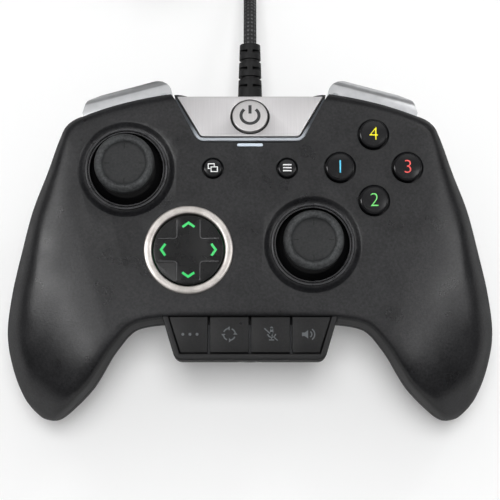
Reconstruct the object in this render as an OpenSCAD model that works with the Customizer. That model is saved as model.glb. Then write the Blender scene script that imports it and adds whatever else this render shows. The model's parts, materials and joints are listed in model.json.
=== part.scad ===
// Wired gamepad controller, lying on its belly and grips with the face level.
// +X is to the user's right, +Y away from the user, +Z up out of the face. Millimetres.

/* [Body] */
// Width across the grips
body_w = 156; // [148:1:164]
// Length from the front edge of the face to the tips of the grips
body_l = 102.6; // [101:0.2:106]
// Height of the flat face above the surface
face_z = 48; // [46:0.5:52]
// Height of the parting line between the shells at the middle
part_z = 33; // [31:0.5:35]
// Wall of the two shells
wall = 2.2; // [1.8:0.1:2.6]

/* [Sticks] */
// Left stick, distance left of the middle
left_stick_x = 38.9; // [38:0.1:39.5]
// Left stick, distance ahead of the middle
left_stick_y = 23.8; // [23:0.1:24.5]
// Right stick, distance right of the middle
right_stick_x = 19.6; // [19:0.1:20.5]
// Right stick, distance ahead of the middle
right_stick_y = -0.2; // [-1:0.1:1]
// Diameter of a thumb cap
stick_cap_d = 18.8; // [17.5:0.1:19.2]
// Height of a thumb cap's rim above the face
stick_rise = 10; // [10:0.1:12]
// Depth of a stick's pivot below the face
stick_pivot_drop = 8.5; // [8.4:0.05:8.6]
// Inner diameter of the low friction ring
stick_ring_id = 23.1; // [23:0.1:23.5]
// Width of the low friction ring
stick_ring_w = 1.45; // [1.3:0.05:1.7]
// Width of the soft dish in the face around the ring
stick_dish_w = 2; // [1.5:0.1:2.5]

/* [Direction pad] */
// Direction pad, distance left of the middle
dpad_x = 19.2; // [18.8:0.1:19.6]
// Direction pad, distance behind the middle
dpad_y = 2; // [1.5:0.1:2.5]
// Diameter of the pad
dpad_d = 21.8; // [21:0.1:22.2]
// Width of the arms of the raised cross
dpad_arm_w = 7.8; // [6:0.1:9]
// Width of the metal ring
dpad_ring_w = 2.5; // [2.2:0.1:2.8]

/* [Face buttons] */
// Middle of the four face buttons, distance right of the middle
face_buttons_x = 38.9; // [38.5:0.1:39.3]
// Middle of the four face buttons, distance ahead of the middle
face_buttons_y = 24.25; // [23.9:0.05:24.6]
// Distance of each face button from their middle
face_button_pitch = 10.6; // [10.3:0.1:10.8]
// Diameter of a face button
face_button_d = 9; // [8:0.1:9.2]
// Height of a face button's crown above the face
face_button_rise = 1.9; // [1.6:0.1:2.6]

/* [Centre buttons] */
// View and menu buttons, distance either side of the middle
small_button_x = 11.7; // [11:0.1:12.5]
// View and menu buttons, distance ahead of the middle
small_button_y = 24; // [23:0.1:25]
// Diameter of the view and menu buttons
small_button_d = 5.8; // [5:0.1:6.4]
// Home button, distance ahead of the middle
home_y = 41.3; // [41:0.1:41.6]
// Diameter of the home button
home_d = 11.7; // [10:0.1:12]

/* [Centre plate] */
// Half the width of the plate at the front edge of the face
plate_front_half = 23.3; // [22.5:0.1:23.6]
// Half the width of the plate at its edge towards the user
plate_rear_half = 15.5; // [14.8:0.1:16]
// Edge of the plate towards the user, distance ahead of the middle
plate_rear_y = 34.6; // [34.4:0.1:34.8]
// Slope of the plate down towards the front
plate_tilt = 15; // [14:0.5:16]
// Thickness of the plate
plate_t = 1.5; // [1.2:0.1:1.8]
// Width of the light strip round the plate
strip_w = 1; // [0.8:0.1:1.2]
// Status light bar, distance ahead of the middle
led_y = 31.6; // [31:0.1:31.8]
// Length of the status light bar
led_l = 8.2; // [6:0.1:10]
// Width of the status light bar
led_w = 1; // [0.8:0.1:1.2]

/* [Key panel] */
// Half the width of the panel at the edge of the face
panel_face_half = 27.3; // [26.8:0.1:27.8]
// Half the width of the panel at its edge towards the user
panel_user_half = 23.2; // [22.8:0.1:23.6]
// Length of the panel from the edge of the face towards the user
panel_l = 13.3; // [13:0.1:14]
// Width of the bezel round the keys
panel_bezel_w = 1.9; // [1.5:0.1:2.2]
// Pitch of the key dividers
key_pitch = 12.8; // [12.6:0.1:13]
// Bore of the headset socket
jack_bore_d = 3.6; // [3.5:0.05:3.7]

/* [Bumpers and triggers] */
// How far a bumper stands out ahead of the face
bumper_out = 5.7; // [5.2:0.1:6]
// Length of a bumper
bumper_l = 29.2; // [28.6:0.1:29.4]
// Width of a trigger
trigger_w = 25; // [23:0.5:25.5]
// Diameter of a trigger's hinge pin
trigger_pin_d = 3; // [2.6:0.1:3.4]
// Height of a trigger's hinge pin above the surface
trigger_pin_z = 27.5; // [27.2:0.1:27.8]

/* [Cable] */
// Diameter of the braided cable
cable_d = 4.2; // [4:0.1:4.3]
// Length of the boot outside the shell
boot_l = 19.8; // [18:0.2:20]
// Diameter of the boot where it leaves the shell
boot_d = 8; // [7.6:0.1:8.4]
// Turns of the coil in each layer, with the half turn that climbs
coil_layer_turns = 5; // [4:1:5]
// Gap between neighbouring turns of the coil
coil_gap = 0.5; // [0.45:0.01:0.6]
// Radius of the outermost turn of the coil
coil_r = 35.9; // [35:0.1:38]

/* [Clearances] */
// Gap round a piece that slides or turns in an opening
run_gap = 0.4; // [0.3:0.05:0.5]
// Gap at rest between a sprung piece and its seat
rest_gap = 0.3; // [0.2:0.05:0.4]
// Gap round a fixed piece in its opening
fit_gap = 0.05; // [0.02:0.01:0.1]

/* [Hidden] */

$fn = 64;

// Colours
black = "#2b2b2d";
dark = "#1b1b1d";
silver = "#bdb9b7";
pale = "#dfe6ee";
board_green = "#1f5a38";
rubber = "#3a3b3c";
steel = "#b5b8bb";

// Outline of one half of the body, from the middle round to the tip of a grip. Each station
// pairs a point of the outer edge with a point of the inner edge, as drawn at this size.
drawn_w = 156;
drawn_l = 102.6;
outer_edge = [[0, 48.4], [13, 48.6], [24.8, 49.7], [40, 46.4], [52.5, 42.3], [58, 39.4],
  [60.8, 34.7], [64.6, 24.5], [69.4, 12.5], [73, -0.5], [76.3, -14], [77.9, -26.5],
  [76.3, -37.5], [73, -46.3], [69, -51.8]];
inner_edge = [[0, -23], [12, -23], [21.5, -23.2], [30, -23.8], [35.5, -25], [38.5, -27],
  [41, -30], [44, -34], [47, -39], [50, -43.4], [53.5, -47], [57, -50], [60, -52.2],
  [62.5, -53.3], [65.5, -53.6]];
// Droop of the parting line, depth of the crest below the face and height of the underside
part_droop = [0, 0, 0, 0, 0, 0, 0, 0.5, 1.5, 3, 5, 7.5, 10.5, 13.5, 15.5];
crest_drop = [-0.4, -0.4, -0.4, -0.4, -0.4, -0.4, -0.4, -0.3, 0.2, 1.4, 3.4, 6.6, 11.5, 18, 26];
underside_z = [-1.5, -1, 1, 4.5, 7.5, 8.5, 8.5, 7, 4.5, 2, 0, -0.5, 1.5, 6, 12.5];
// How square the section's upper edge is, 2 being an ellipse
outer_square = [9, 9, 9, 9, 9, 8, 6, 4.5, 3.6, 3, 2.6, 2.4, 2.2, 2.2, 2.2];
inner_square = [20, 20, 20, 20, 20, 18, 16, 14, 12, 10, 9, 7, 5.5, 4, 2.5];
belly_square = 2.6;
// Steps between two stations, steps over a section and the share of the half that is hollow
station_steps = 2;
section_steps = 14;
hollow_share = 0.93;

last_station = len(outer_edge) - 1;
half_sections = last_station * station_steps;
body_scale = [body_w / drawn_w, body_l / drawn_l];

function spline(p, t) =
  let (n = len(p) - 1, i = min(floor(t), n - 1), f = t - i)
  let (a = p[max(i - 1, 0)], b = p[i], c = p[i + 1], d = p[min(i + 2, n)])
  b + 0.5 * f * ((c - a) + f * ((2 * a - 5 * b + 4 * c - d) + f * (3 * (b - c) + d - a)));
function spread(p) = [p[0] * body_scale[0], p[1] * body_scale[1]];
function outer_at(t) = spread(spline(outer_edge, t));
function inner_at(t) = spread(spline(inner_edge, t));
function part_at(t) = part_z - spline(part_droop, t);
function crest_at(t) = face_z - spline(crest_drop, t);
function underside_at(t) = spline(underside_z, t);

// A place on the body: t is the station, s runs from -1 at the inner edge to 1 at the outer.
function place(t, s) = (outer_at(t) + inner_at(t)) / 2 + s * (outer_at(t) - inner_at(t)) / 2;
function under(t, s) = max(0, part_at(t)
  - (part_at(t) - underside_at(t)) * pow(1 - pow(abs(s), belly_square), 1 / belly_square));

// One point of a section: turn runs from 0 at the outer edge to 180 at the inner edge.
function section_point(t, turn, upper, inset) =
  let (o = outer_at(t), i = inner_at(t), c = cos(turn), half = norm(o - i) / 2)
  let (square = !upper ? belly_square
    : c >= 0 ? spline(outer_square, t) : spline(inner_square, t))
  let (across = sign(c) * pow(abs(c), 2 / square) * (half - inset) / half)
  let (rise = pow(max(sin(turn), 0), 2 / square), middle = part_at(t))
  let (top = min(face_z - inset, middle + rise * (crest_at(t) - inset - middle)))
  let (bottom = max(inset, middle - rise * (middle - underside_at(t) - inset)))
  concat((o + i) / 2 + across * (o - i) / 2, upper ? top : bottom);

function section(k, upper, inset, share) =
  let (t = abs(k) / station_steps * share, side = k < 0 ? -1 : 1)
  [for (j = [0:section_steps])
    let (p = section_point(t, 180 * j / section_steps, upper, inset)) [side * p[0], p[1], p[2]]];

function reversed(f) = [for (k = [len(f) - 1:-1:0]) f[k]];

// One shell: an outer and an inner skin, a rim along the parting line and closed grip tips.
module shell_half(upper) {
  rings = 2 * half_sections + 1;
  ring = section_steps + 1;
  inner = rings * ring;
  skin = [for (k = [-half_sections:half_sections]) each section(k, upper, 0, 1)];
  lining = [for (k = [-half_sections:half_sections]) each section(k, upper, wall, hollow_share)];
  end = (rings - 1) * ring;
  top = section_steps;
  skin_faces = [for (i = [0:rings - 2], j = [0:section_steps - 1])
    let (a = i * ring + j, b = a + ring)
    each [[a, b, b + 1], [a, b + 1, a + 1]]];
  lining_faces = [for (f = skin_faces) reversed([for (v = f) v + inner])];
  rim_faces = [for (i = [0:rings - 2])
    let (a = i * ring, b = a + ring)
    each [[a, a + inner, b + inner], [a, b + inner, b],
      [a + top + inner, a + top, b + top], [a + top + inner, b + top, b + top + inner]]];
  tip_faces = [
    [for (j = [0:top]) j], [for (j = [top:-1:0]) j + inner],
    [for (j = [top:-1:0]) j + end], [for (j = [0:top]) j + end + inner],
    [inner, 0, top], [inner, top, top + inner],
    [end, end + inner, end + top + inner], [end, end + top + inner, end + top]];
  faces = concat(skin_faces, lining_faces, rim_faces, tip_faces);
  polyhedron(concat(skin, lining), upper ? faces : [for (f = faces) reversed(f)], convexity = 10);
}

// Shared heights
face_under = face_z - wall;
lip_under = face_z - wall - 0.3;
board_t = 1.6;
button_board_z = face_z - 11;
button_board_top = button_board_z + board_t;
main_board_top = part_z;
main_board_z = main_board_top - board_t;
membrane_t = 1;
membrane_top = button_board_top + membrane_t;
stem_bottom = face_under - 2.4;
dome_top = stem_bottom - 0.1;
flange_t = 1.2;
flange_top = face_under - rest_gap;
cut = 5;

left_stick_at = spread([-left_stick_x, left_stick_y]);
right_stick_at = spread([right_stick_x, right_stick_y]);
sticks_at = [left_stick_at, right_stick_at];
dpad_at = spread([-dpad_x, -dpad_y]);
face_centre = spread([face_buttons_x, face_buttons_y]);
top_button_at = face_centre + [0, face_button_pitch];
left_button_at = face_centre - [face_button_pitch, 0];
right_button_at = face_centre + [face_button_pitch, 0];
bottom_button_at = face_centre - [0, face_button_pitch];
face_buttons_at = [top_button_at, left_button_at, right_button_at, bottom_button_at];
view_at = spread([-small_button_x, small_button_y]);
menu_at = spread([small_button_x, small_button_y]);
small_buttons_at = [view_at, menu_at];

module at(p, z = 0) {
  translate([p[0], p[1], z]) children();
}

module turned(profile) {
  rotate_extrude() polygon(profile);
}

module left_side() {
  mirror([1, 0, 0]) children();
}

module both_sides() {
  children();
  left_side() children();
}

// Screws join the shells: three behind the face and one in each grip, placed on the loft
screw_d = 2.6;
screw_head_d = 5.2;
screw_head_h = 2;
screw_seat = 5;
boss_d = 7;
rear_boss_d = 8.4;
boss_sink = 3.2;
front_screw = [1.7, 0.66];
user_screw = [0, -0.66];
grip_screw = [9, 0];

module at_screws() {
  both_sides() for (s = [front_screw, grip_screw]) at(place(s[0], s[1])) {
    $screw = s;
    children();
  }
  at(place(user_screw[0], user_screw[1])) {
    $screw = user_screw;
    children();
  }
}
function boss_top(s) = min(crest_at(s[0]), face_z) - wall / 2;
function boss_joint(s) = part_at(s[0]);
function screw_seat_z(s) = under(s[0], s[1]) + screw_seat;

// Posts under the face hold the button board down on spacers, which stand on the main board
post_d = 4;
board_posts = [for (p = [[2, 12], [48, 12], [21, 30], [-22, 16]]) spread(p)];

// The centre plate lies on a sloping bed, with the home button square to it
plate_front_y = outer_at(0)[1];
plate_user_y = plate_rear_y * body_scale[1];
plate_wide = plate_front_half * body_scale[0];
plate_narrow = plate_rear_half * body_scale[0];
home_at_y = home_y * body_scale[1];
plate_rear_z = face_z - 0.8;
plate_corner = 1.6;
plate_run = (plate_front_y - plate_user_y) / cos(plate_tilt);
plate_flare = (plate_wide - plate_narrow) / plate_run;
bed_t = 1.6;
bed_rim = 4.4;
strip_gap = 0.5;
strip_h = 1.4;
notch_grow = strip_gap + strip_w + fit_gap;
home_run = (home_at_y - plate_user_y) / cos(plate_tilt);
home_stem_r = 2.4;
home_stem_l = 3.4;
home_rise = 0.8;
home_foot_y = home_at_y - sin(plate_tilt) * home_stem_l;
home_foot_z = plate_rear_z - home_run * sin(plate_tilt) - cos(plate_tilt) * home_stem_l
  - sin(plate_tilt) * home_stem_r;
home_dome_top = home_foot_z - 0.1;

module on_plate() {
  translate([0, plate_user_y, plate_rear_z]) rotate([-plate_tilt, 0, 0]) children();
}

// Plan of the plate in its own plane, grown on all edges but the front one
module plate_plan(grow, run = plate_run) {
  side = grow * sqrt(1 + plate_flare * plate_flare);
  rear = plate_narrow + side - grow * plate_flare;
  front = plate_narrow + side + (run + cut) * plate_flare;
  r = plate_corner + grow;
  intersection() {
    offset(r) offset(-r)
      polygon([[-rear, -grow], [rear, -grow], [front, run + cut], [-front, run + cut]]);
    translate([-front, -grow]) square([2 * front, run + grow]);
  }
}

module plate_bed() {
  intersection() {
    on_plate() translate([0, 0, -plate_t - bed_t]) linear_extrude(bed_t + bed_rim)
      plate_plan(notch_grow + wall / 2, plate_run - wall / 2);
    translate([-10 * cut, 0, 0]) cube([20 * cut, 20 * cut, face_z - wall / 2]);
  }
}

// Rings of the round controls
stick_ring_d = stick_ring_id + 2 * stick_ring_w;
stick_dish_d = stick_ring_d + 2 * stick_dish_w;
stick_ring_sink = 0.3;
stick_ring_lip = 0.6;
stick_ring_body_r = stick_ring_d / 2 - 0.7;
stick_dish_depth = 0.8;
dpad_gap = 0.55;
dpad_ring_id = dpad_d + 2 * dpad_gap;
dpad_ring_d = dpad_ring_id + 2 * dpad_ring_w;
dpad_ring_body_r = dpad_ring_d / 2 - 0.7;
dpad_ring_rise = 1.1;

module stick_opening() {
  cylinder(r = stick_ring_body_r + fit_gap, h = 3 * cut, center = true);
  translate([0, 0, -stick_dish_depth])
    cylinder(r1 = stick_ring_d / 2 + fit_gap, r2 = stick_dish_d / 2, h = stick_dish_depth + 0.01);
}

module round_opening(d) {
  cylinder(d = d, h = 3 * cut, center = true);
}

// Key panel: a tray set into the edge of the face, with a bezel, four keys and a headset socket
panel_set = 0.4;
panel_face_y = inner_at(0)[1] + panel_set;
panel_user_y = inner_at(0)[1] - panel_l;
panel_wide = panel_face_half * body_scale[0];
panel_narrow = panel_user_half * body_scale[0];
panel_flare = (panel_wide - panel_narrow) / (panel_face_y - panel_user_y);
key_step = key_pitch * body_scale[0];
panel_corner = 2.8;
panel_tail = 3.6;
panel_drop = 0.4;
bezel_t = 2;
bezel_under = face_z - panel_drop - bezel_t;
tray_wall = 1.2;
tray_floor_z = part_z + 1.6;
tray_step = 1;
tray_ledge_t = 0.8;
tray_user_y = panel_user_y + tray_step;
key_drop = 0.5;
key_face_y = panel_face_y;
key_user_y = panel_user_y + panel_bezel_w;
key_lip = panel_bezel_w - tray_wall;
key_flange_t = 1.2;
socket_w = 9;
socket_l = 14;
socket_h = 5.2;
socket_z = tray_floor_z + socket_h / 2;
socket_nose_r = 2.5;
socket_collar_r = 4.2;
socket_collar_t = 0.6;
jack_l = 13;
panel_board_z = tray_floor_z + socket_h;
panel_board_t = 1.2;
panel_sheet_t = 0.6;
key_foot_z = bezel_under - rest_gap - key_flange_t;

// The boot of the cable passes through the front wall on the parting line
wall_front_y = outer_at(0)[1];
boot_end_y = wall_front_y + boot_l;
boot_end_d = 6.7;
boot_flange_d = 10;
boot_flange_t = 1.3;

module boot_axis() {
  translate([0, wall_front_y, part_z]) rotate([-90, 0, 0]) children();
}

module boot_opening() {
  boot_axis() {
    cylinder(d = boot_d + 2 * fit_gap, h = 4 * cut, center = true);
    translate([0, 0, -wall - cut]) cylinder(d = boot_flange_d + 2 * fit_gap, h = cut);
  }
}

// Rumble motors lie in two cradles of the rear shell, each with an off-centre weight
motor_at = place(8, 0.3);
motor_r = 7;
motor_l = 14;
motor_z = 18;
motor_rib_stations = [7.6, 8.4];
motor_rib_t = 2;
motor_shaft_r = 1;
weight_r = 6;
weight_t = 5;
weight_gap = 0.6;

module on_motor() {
  at(motor_at, motor_z) rotate([-90, 0, 0]) children();
}

module motor_ribs() {
  for (t = motor_rib_stations) {
    base = under(t, 0.3) + 0.8 * wall;
    translate([motor_at[0] - 0.55 * motor_r, place(t, 0.3)[1] - motor_rib_t / 2, base])
      cube([1.1 * motor_r, motor_rib_t, motor_z - base - 0.5 * motor_r]);
  }
}

// Bumper and trigger bay, in its own frame along the front edge: x along the edge, y outwards
bay_from = outer_at(2);
bay_to = outer_at(4.1);
bay_mid = (bay_from + bay_to) / 2;
bay_turn = atan2(bay_to[1] - bay_from[1], bay_to[0] - bay_from[0]);
bumper_span = bumper_l * body_scale[0];
trigger_span = trigger_w * body_scale[0];
bay_half = bumper_span / 2 + 0.6;
bay_depth = 9.4;
bay_floor_z = 19;
frame_t = 1.5;
frame_back_y = 0.4 - bay_depth;
frame_face_y = frame_back_y + frame_t;
cheek_x = trigger_span / 2 + 0.8;
trigger_pin_y = -2.5;
trigger_hub_r = 3.4;
bumper_top = lip_under - rest_gap;
bumper_low = lip_under - 10.3;
bumper_tail_y = -3.6;
bumper_pin_at = [2.6 - bumper_span / 2, -1.5];
bumper_pin_r = 1.2;
pin_gap = 0.2;
ledge_t = 1.4;
ledge_z = bumper_low - 0.4 - ledge_t;
spring_w = 3.6;

module bay() {
  at(bay_mid) rotate(bay_turn) children();
}

module bay_cut(from, to) {
  translate([-bay_half, -bay_depth, from]) cube([2 * bay_half, bay_depth + 6 * cut, to - from]);
}

module trigger_axis() {
  translate([0, trigger_pin_y, trigger_pin_z]) rotate([0, 90, 0]) children();
}

// Housing
module front_shell() {
  color(black) difference() {
    union() {
      shell_half(true);
      at_screws() translate([0, 0, boss_joint($screw)])
        cylinder(d = boss_d, h = boss_top($screw) - boss_joint($screw));
      for (p = board_posts) at(p, button_board_top)
        cylinder(d = post_d, h = face_under - button_board_top + wall / 2);
      plate_bed();
    }
    at_screws() translate([0, 0, boss_joint($screw) - 0.1]) cylinder(d = screw_d, h = 8);
    for (p = sticks_at) at(p, face_z) stick_opening();
    at(dpad_at, face_z) cylinder(r = dpad_ring_body_r + fit_gap, h = 3 * cut, center = true);
    for (p = face_buttons_at) at(p, face_z) round_opening(face_button_d + 2 * run_gap);
    for (p = small_buttons_at) at(p, face_z) round_opening(small_button_d + 2 * run_gap);
    on_plate() translate([0, 0, -plate_t]) linear_extrude(3 * cut)
      plate_plan(notch_grow, plate_run + cut);
    on_plate() translate([0, home_run, 0])
      cylinder(r = home_stem_r + 2 * run_gap, h = 4 * cut, center = true);
    translate([0, led_y * body_scale[1], face_z - cut]) linear_extrude(2 * cut) light_bar_plan(fit_gap);
    both_sides() bay() bay_cut(part_z - cut, lip_under);
    translate([0, 0, part_z - cut]) linear_extrude(bezel_under - part_z + cut)
      tray_plan(fit_gap);
    translate([0, 0, bezel_under - 0.01]) linear_extrude(2 * cut) panel_plan(fit_gap);
    boot_opening();
  }
}

module rear_shell() {
  color(dark) difference() {
    union() {
      shell_half(false);
      at_screws() {
        base = under($screw[0], $screw[1]) + ($screw[1] == 0 ? wall / 2 : boss_sink);
        translate([0, 0, base]) cylinder(d = rear_boss_d, h = boss_joint($screw) - base);
      }
      both_sides() motor_ribs();
    }
    at_screws() {
      translate([0, 0, -cut]) cylinder(d = screw_head_d + 0.4, h = screw_seat_z($screw) + cut);
      cylinder(d = screw_d + 0.4, h = part_z + cut);
    }
    both_sides() on_motor() cylinder(r = motor_r + fit_gap, h = 2 * motor_l, center = true);
    both_sides() bay() bay_cut(bay_floor_z, part_z + cut);
    boot_opening();
  }
}

module shell_screws() {
  color(steel) at_screws() {
    seat = screw_seat_z($screw);
    translate([0, 0, seat - screw_head_h]) cylinder(d = screw_head_d, h = screw_head_h);
    translate([0, 0, seat - 0.1])
      cylinder(d = screw_d - 2 * fit_gap, h = boss_joint($screw) - seat + 7);
  }
}

// Centre plate with the light strip round three of its edges, and the light bar
module centre_plate() {
  color(silver) on_plate() difference() {
    translate([0, 0, -plate_t]) linear_extrude(plate_t) plate_plan(0);
    translate([0, home_run, 0]) cylinder(d = home_d + 2 * run_gap, h = 4 * cut, center = true);
  }
}

module plate_light_strip() {
  color(pale) on_plate() translate([0, 0, -plate_t]) linear_extrude(strip_h) difference() {
    plate_plan(strip_gap + strip_w, plate_run - 1);
    plate_plan(strip_gap, plate_run + cut);
  }
}

module light_bar_plan(grow) {
  square([led_l - led_w, led_w + 2 * grow], center = true);
  for (s = [-1, 1]) translate([s * (led_l - led_w) / 2, 0]) circle(d = led_w + 2 * grow);
}

module status_light_bar() {
  color(pale) translate([0, led_y * body_scale[1], face_under - 0.4]) linear_extrude(wall + 0.4)
    light_bar_plan(0);
}

module stick_ring() {
  low = -wall - stick_ring_sink;
  top = stick_ring_lip - 0.2;
  inner_r = stick_ring_id / 2;
  outer_r = stick_ring_d / 2;
  turned([[inner_r, low], [stick_ring_body_r, low], [stick_ring_body_r, -stick_dish_depth],
    [outer_r, -stick_dish_depth], [outer_r, top - 0.5], [outer_r - 0.5, top],
    [inner_r + 0.5, top], [inner_r, top - 0.5]]);
}

module stick_rings() {
  color(black) for (p = sticks_at) at(p, face_z) stick_ring();
}

module dpad_ring() {
  low = -wall - 0.6;
  top = dpad_ring_rise;
  inner_r = dpad_ring_id / 2;
  outer_r = dpad_ring_d / 2;
  color(silver) at(dpad_at, face_z)
    turned([[inner_r, low], [dpad_ring_body_r, low], [dpad_ring_body_r, 0], [outer_r, 0],
      [outer_r, 0.5], [outer_r - 0.5, top - 0.1], [outer_r - 0.9, top],
      [inner_r + 1, top - 0.2], [inner_r, top - 1]]);
}

// Key panel
module panel_plan(grow) {
  far = panel_wide + cut * panel_flare;
  intersection() {
    offset(panel_corner + grow) offset(-panel_corner)
      polygon([[-far, panel_face_y + cut], [far, panel_face_y + cut],
        [panel_narrow, panel_user_y], [-panel_narrow, panel_user_y]]);
    translate([-far, panel_user_y - cut]) square([2 * far, panel_face_y - panel_user_y + cut + grow]);
  }
}

module tray_plan(grow) {
  panel_plan(grow);
  translate([-panel_wide - grow, panel_face_y - 0.01])
    square([2 * (panel_wide + grow), panel_tail + grow]);
}

module panel_tray() {
  color(dark) {
    difference() {
      union() {
        translate([0, 0, part_z]) linear_extrude(panel_board_z - part_z)
          offset(delta = -tray_step) tray_plan(0);
        translate([0, 0, panel_board_z - tray_ledge_t])
          linear_extrude(bezel_under - panel_board_z + tray_ledge_t) tray_plan(0);
      }
      translate([0, 0, tray_floor_z]) linear_extrude(bezel_under)
        offset(delta = -tray_wall - tray_step) tray_plan(0);
      translate([0, 0, panel_board_z]) linear_extrude(bezel_under) offset(delta = -tray_wall)
        tray_plan(0);
      socket_axis() {
        cylinder(r = socket_nose_r + fit_gap, h = 2 * cut, center = true);
        cylinder(r = socket_collar_r + fit_gap, h = cut);
      }
    }
    for (x = [-1, 1]) translate([x * (panel_narrow - 5), panel_user_y + 6, tray_floor_z - 0.1])
      cylinder(d = post_d, h = panel_board_z - tray_floor_z + 0.1);
  }
}

module panel_bezel() {
  open_y = key_face_y + cut;
  color(dark) translate([0, 0, bezel_under]) linear_extrude(bezel_t) difference() {
    panel_plan(0);
    polygon([[-key_edge(open_y), open_y], [key_edge(open_y), open_y],
      [key_edge(key_user_y), key_user_y], [-key_edge(key_user_y), key_user_y]]);
  }
}

// Half the width of the keys' window at y
function key_edge(y) = panel_narrow + (y - panel_user_y) * panel_flare - panel_bezel_w;

// Plan of key k, counted from the left, with flanges grown under the bezel and the face
module key_plan(k, grow) {
  face_left = k == 0 ? -key_edge(key_face_y) : (k - 2) * key_step;
  face_right = k == 3 ? key_edge(key_face_y) : (k - 1) * key_step;
  user_left = k == 0 ? -key_edge(key_user_y) : (k - 2) * key_step;
  user_right = k == 3 ? key_edge(key_user_y) : (k - 1) * key_step;
  low = key_user_y + run_gap - grow;
  high = key_face_y - run_gap + grow;
  polygon([[face_left + run_gap, high], [face_right - run_gap, high],
    [user_right - run_gap, low], [user_left + run_gap, low]]);
}

module key(k) {
  top = face_z - key_drop;
  color(dark) {
    translate([0, 0, key_foot_z]) linear_extrude(key_flange_t) key_plan(k, key_lip);
    translate([0, 0, key_foot_z]) linear_extrude(top - key_foot_z) key_plan(k, 0);
  }
}

module profile_key() {
  key(0);
}

module remap_key() {
  key(1);
}

module mute_key() {
  key(2);
}

module volume_key() {
  key(3);
}

module panel_board() {
  color(board_green) translate([0, 0, panel_board_z]) linear_extrude(panel_board_t)
    offset(delta = -tray_wall - fit_gap) tray_plan(0);
}

module panel_membrane() {
  middle_y = (key_face_y + key_user_y) / 2;
  color(rubber) translate([0, 0, panel_board_z + panel_board_t]) {
    linear_extrude(panel_sheet_t) offset(delta = -tray_wall - 1) panel_plan(0);
    for (k = [0:3]) translate([(k - 1.5) * key_step, middle_y, panel_sheet_t - 0.1])
      cylinder(r1 = 3, r2 = 2, h = key_foot_z - panel_board_z - panel_board_t - panel_sheet_t);
  }
}

module socket_axis() {
  translate([0, tray_user_y, socket_z]) rotate([90, 0, 0]) children();
}

module headset_socket() {
  color(dark) difference() {
    union() {
      translate([-socket_w / 2, tray_user_y + tray_wall, tray_floor_z])
        cube([socket_w, socket_l - tray_wall, socket_h]);
      socket_axis() translate([0, 0, -tray_wall - 0.1])
        cylinder(r = socket_nose_r, h = tray_wall + 0.2);
      socket_axis() cylinder(r = socket_collar_r, h = socket_collar_t);
    }
    socket_axis() translate([0, 0, -jack_l + socket_collar_t])
      cylinder(d = jack_bore_d, h = jack_l + cut);
  }
}

// Boards, spacers and membranes
stick_clear_r = 14;

module button_board() {
  color(board_green) translate([0, 0, button_board_z]) linear_extrude(board_t) difference() {
    polygon([for (p = [[-32, -15], [36, -15], [51.5, 10], [51.5, 28.5], [46, 33], [44, 38.2],
      [34, 40.5], [28, 38.5], [22, 38.5], [17, 44.5], [-17, 44.5], [-23, 36], [-23, 11.5],
      [-32, 9.5]]) spread(p)]);
    for (p = sticks_at) at(p) circle(r = stick_clear_r);
    at_screws() circle(d = boss_d + 2);
  }
}

module main_board() {
  color(board_green) translate([0, 0, main_board_z]) linear_extrude(board_t) difference() {
    polygon([for (p = [[-50, -12], [50, -12], [54, 8], [51, 20], [48, 31], [33, 35], [24, 36.5],
      [18, 41], [-18, 41], [-24, 36.5], [-33, 35], [-48, 31], [-51, 20], [-54, 8]]) spread(p)]);
    at_screws() circle(d = rear_boss_d + 2);
  }
}

module board_spacers() {
  color(silver) for (p = board_posts) at(p, main_board_top)
    cylinder(d = post_d, h = button_board_z - main_board_top);
}

module dome(r, top = dome_top) {
  translate([0, 0, membrane_top - 0.1]) cylinder(r1 = r, r2 = 0.65 * r, h = top - membrane_top + 0.1);
}

module face_button_membrane() {
  color(rubber) {
    translate([0, 0, button_board_top]) linear_extrude(membrane_t) {
      at(face_centre) circle(r = face_button_pitch - 2);
      for (p = face_buttons_at) at(p) circle(r = 3.6);
    }
    for (p = face_buttons_at) at(p) dome(3.2);
  }
}

module centre_button_membrane() {
  color(rubber) {
    translate([0, 0, button_board_top]) linear_extrude(membrane_t) {
      at([0, menu_at[1]]) square([2 * menu_at[0] + 7, 7], center = true);
      translate([-3.5, menu_at[1]]) square([7, home_foot_y - menu_at[1] + 3]);
    }
    for (p = small_buttons_at) at(p) dome(2.6);
    at([0, home_foot_y]) dome(3, home_dome_top);
  }
}

// Round buttons: a crowned cap, a flange that stops under the face, and a stem
button_flange = 0.8;

module round_button(d, rise, stem_r) {
  r = d / 2;
  flange = flange_top - face_z;
  turned([[0, stem_bottom - face_z], [stem_r, stem_bottom - face_z], [stem_r, flange - flange_t],
    [r + button_flange, flange - flange_t], [r + button_flange, flange], [r, flange],
    [r, rise - 0.9], [r - 0.12, rise - 0.62], [r - 0.4, rise - 0.42], [0.7 * r, rise - 0.2],
    [0.35 * r, rise - 0.05], [0, rise]]);
}

module face_button(p) {
  color(dark) at(p, face_z) round_button(face_button_d, face_button_rise, 2.8);
}

module face_button_top() {
  face_button(top_button_at);
}

module face_button_left() {
  face_button(left_button_at);
}

module face_button_right() {
  face_button(right_button_at);
}

module face_button_bottom() {
  face_button(bottom_button_at);
}

module small_button(p) {
  color(dark) at(p, face_z) round_button(small_button_d, 1.1, 1.7);
}

module view_button() {
  small_button(view_at);
}

module menu_button() {
  small_button(menu_at);
}

module home_button() {
  r = home_d / 2;
  sole = -plate_t + 0.8;
  color(silver) on_plate() translate([0, home_run, 0])
    turned([[0, -home_stem_l], [home_stem_r, -home_stem_l], [home_stem_r, sole], [r, sole],
      [r, home_rise - 0.5], [r - 0.2, home_rise - 0.25], [0.6 * r, home_rise - 0.08],
      [0, home_rise]]);
}

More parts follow.
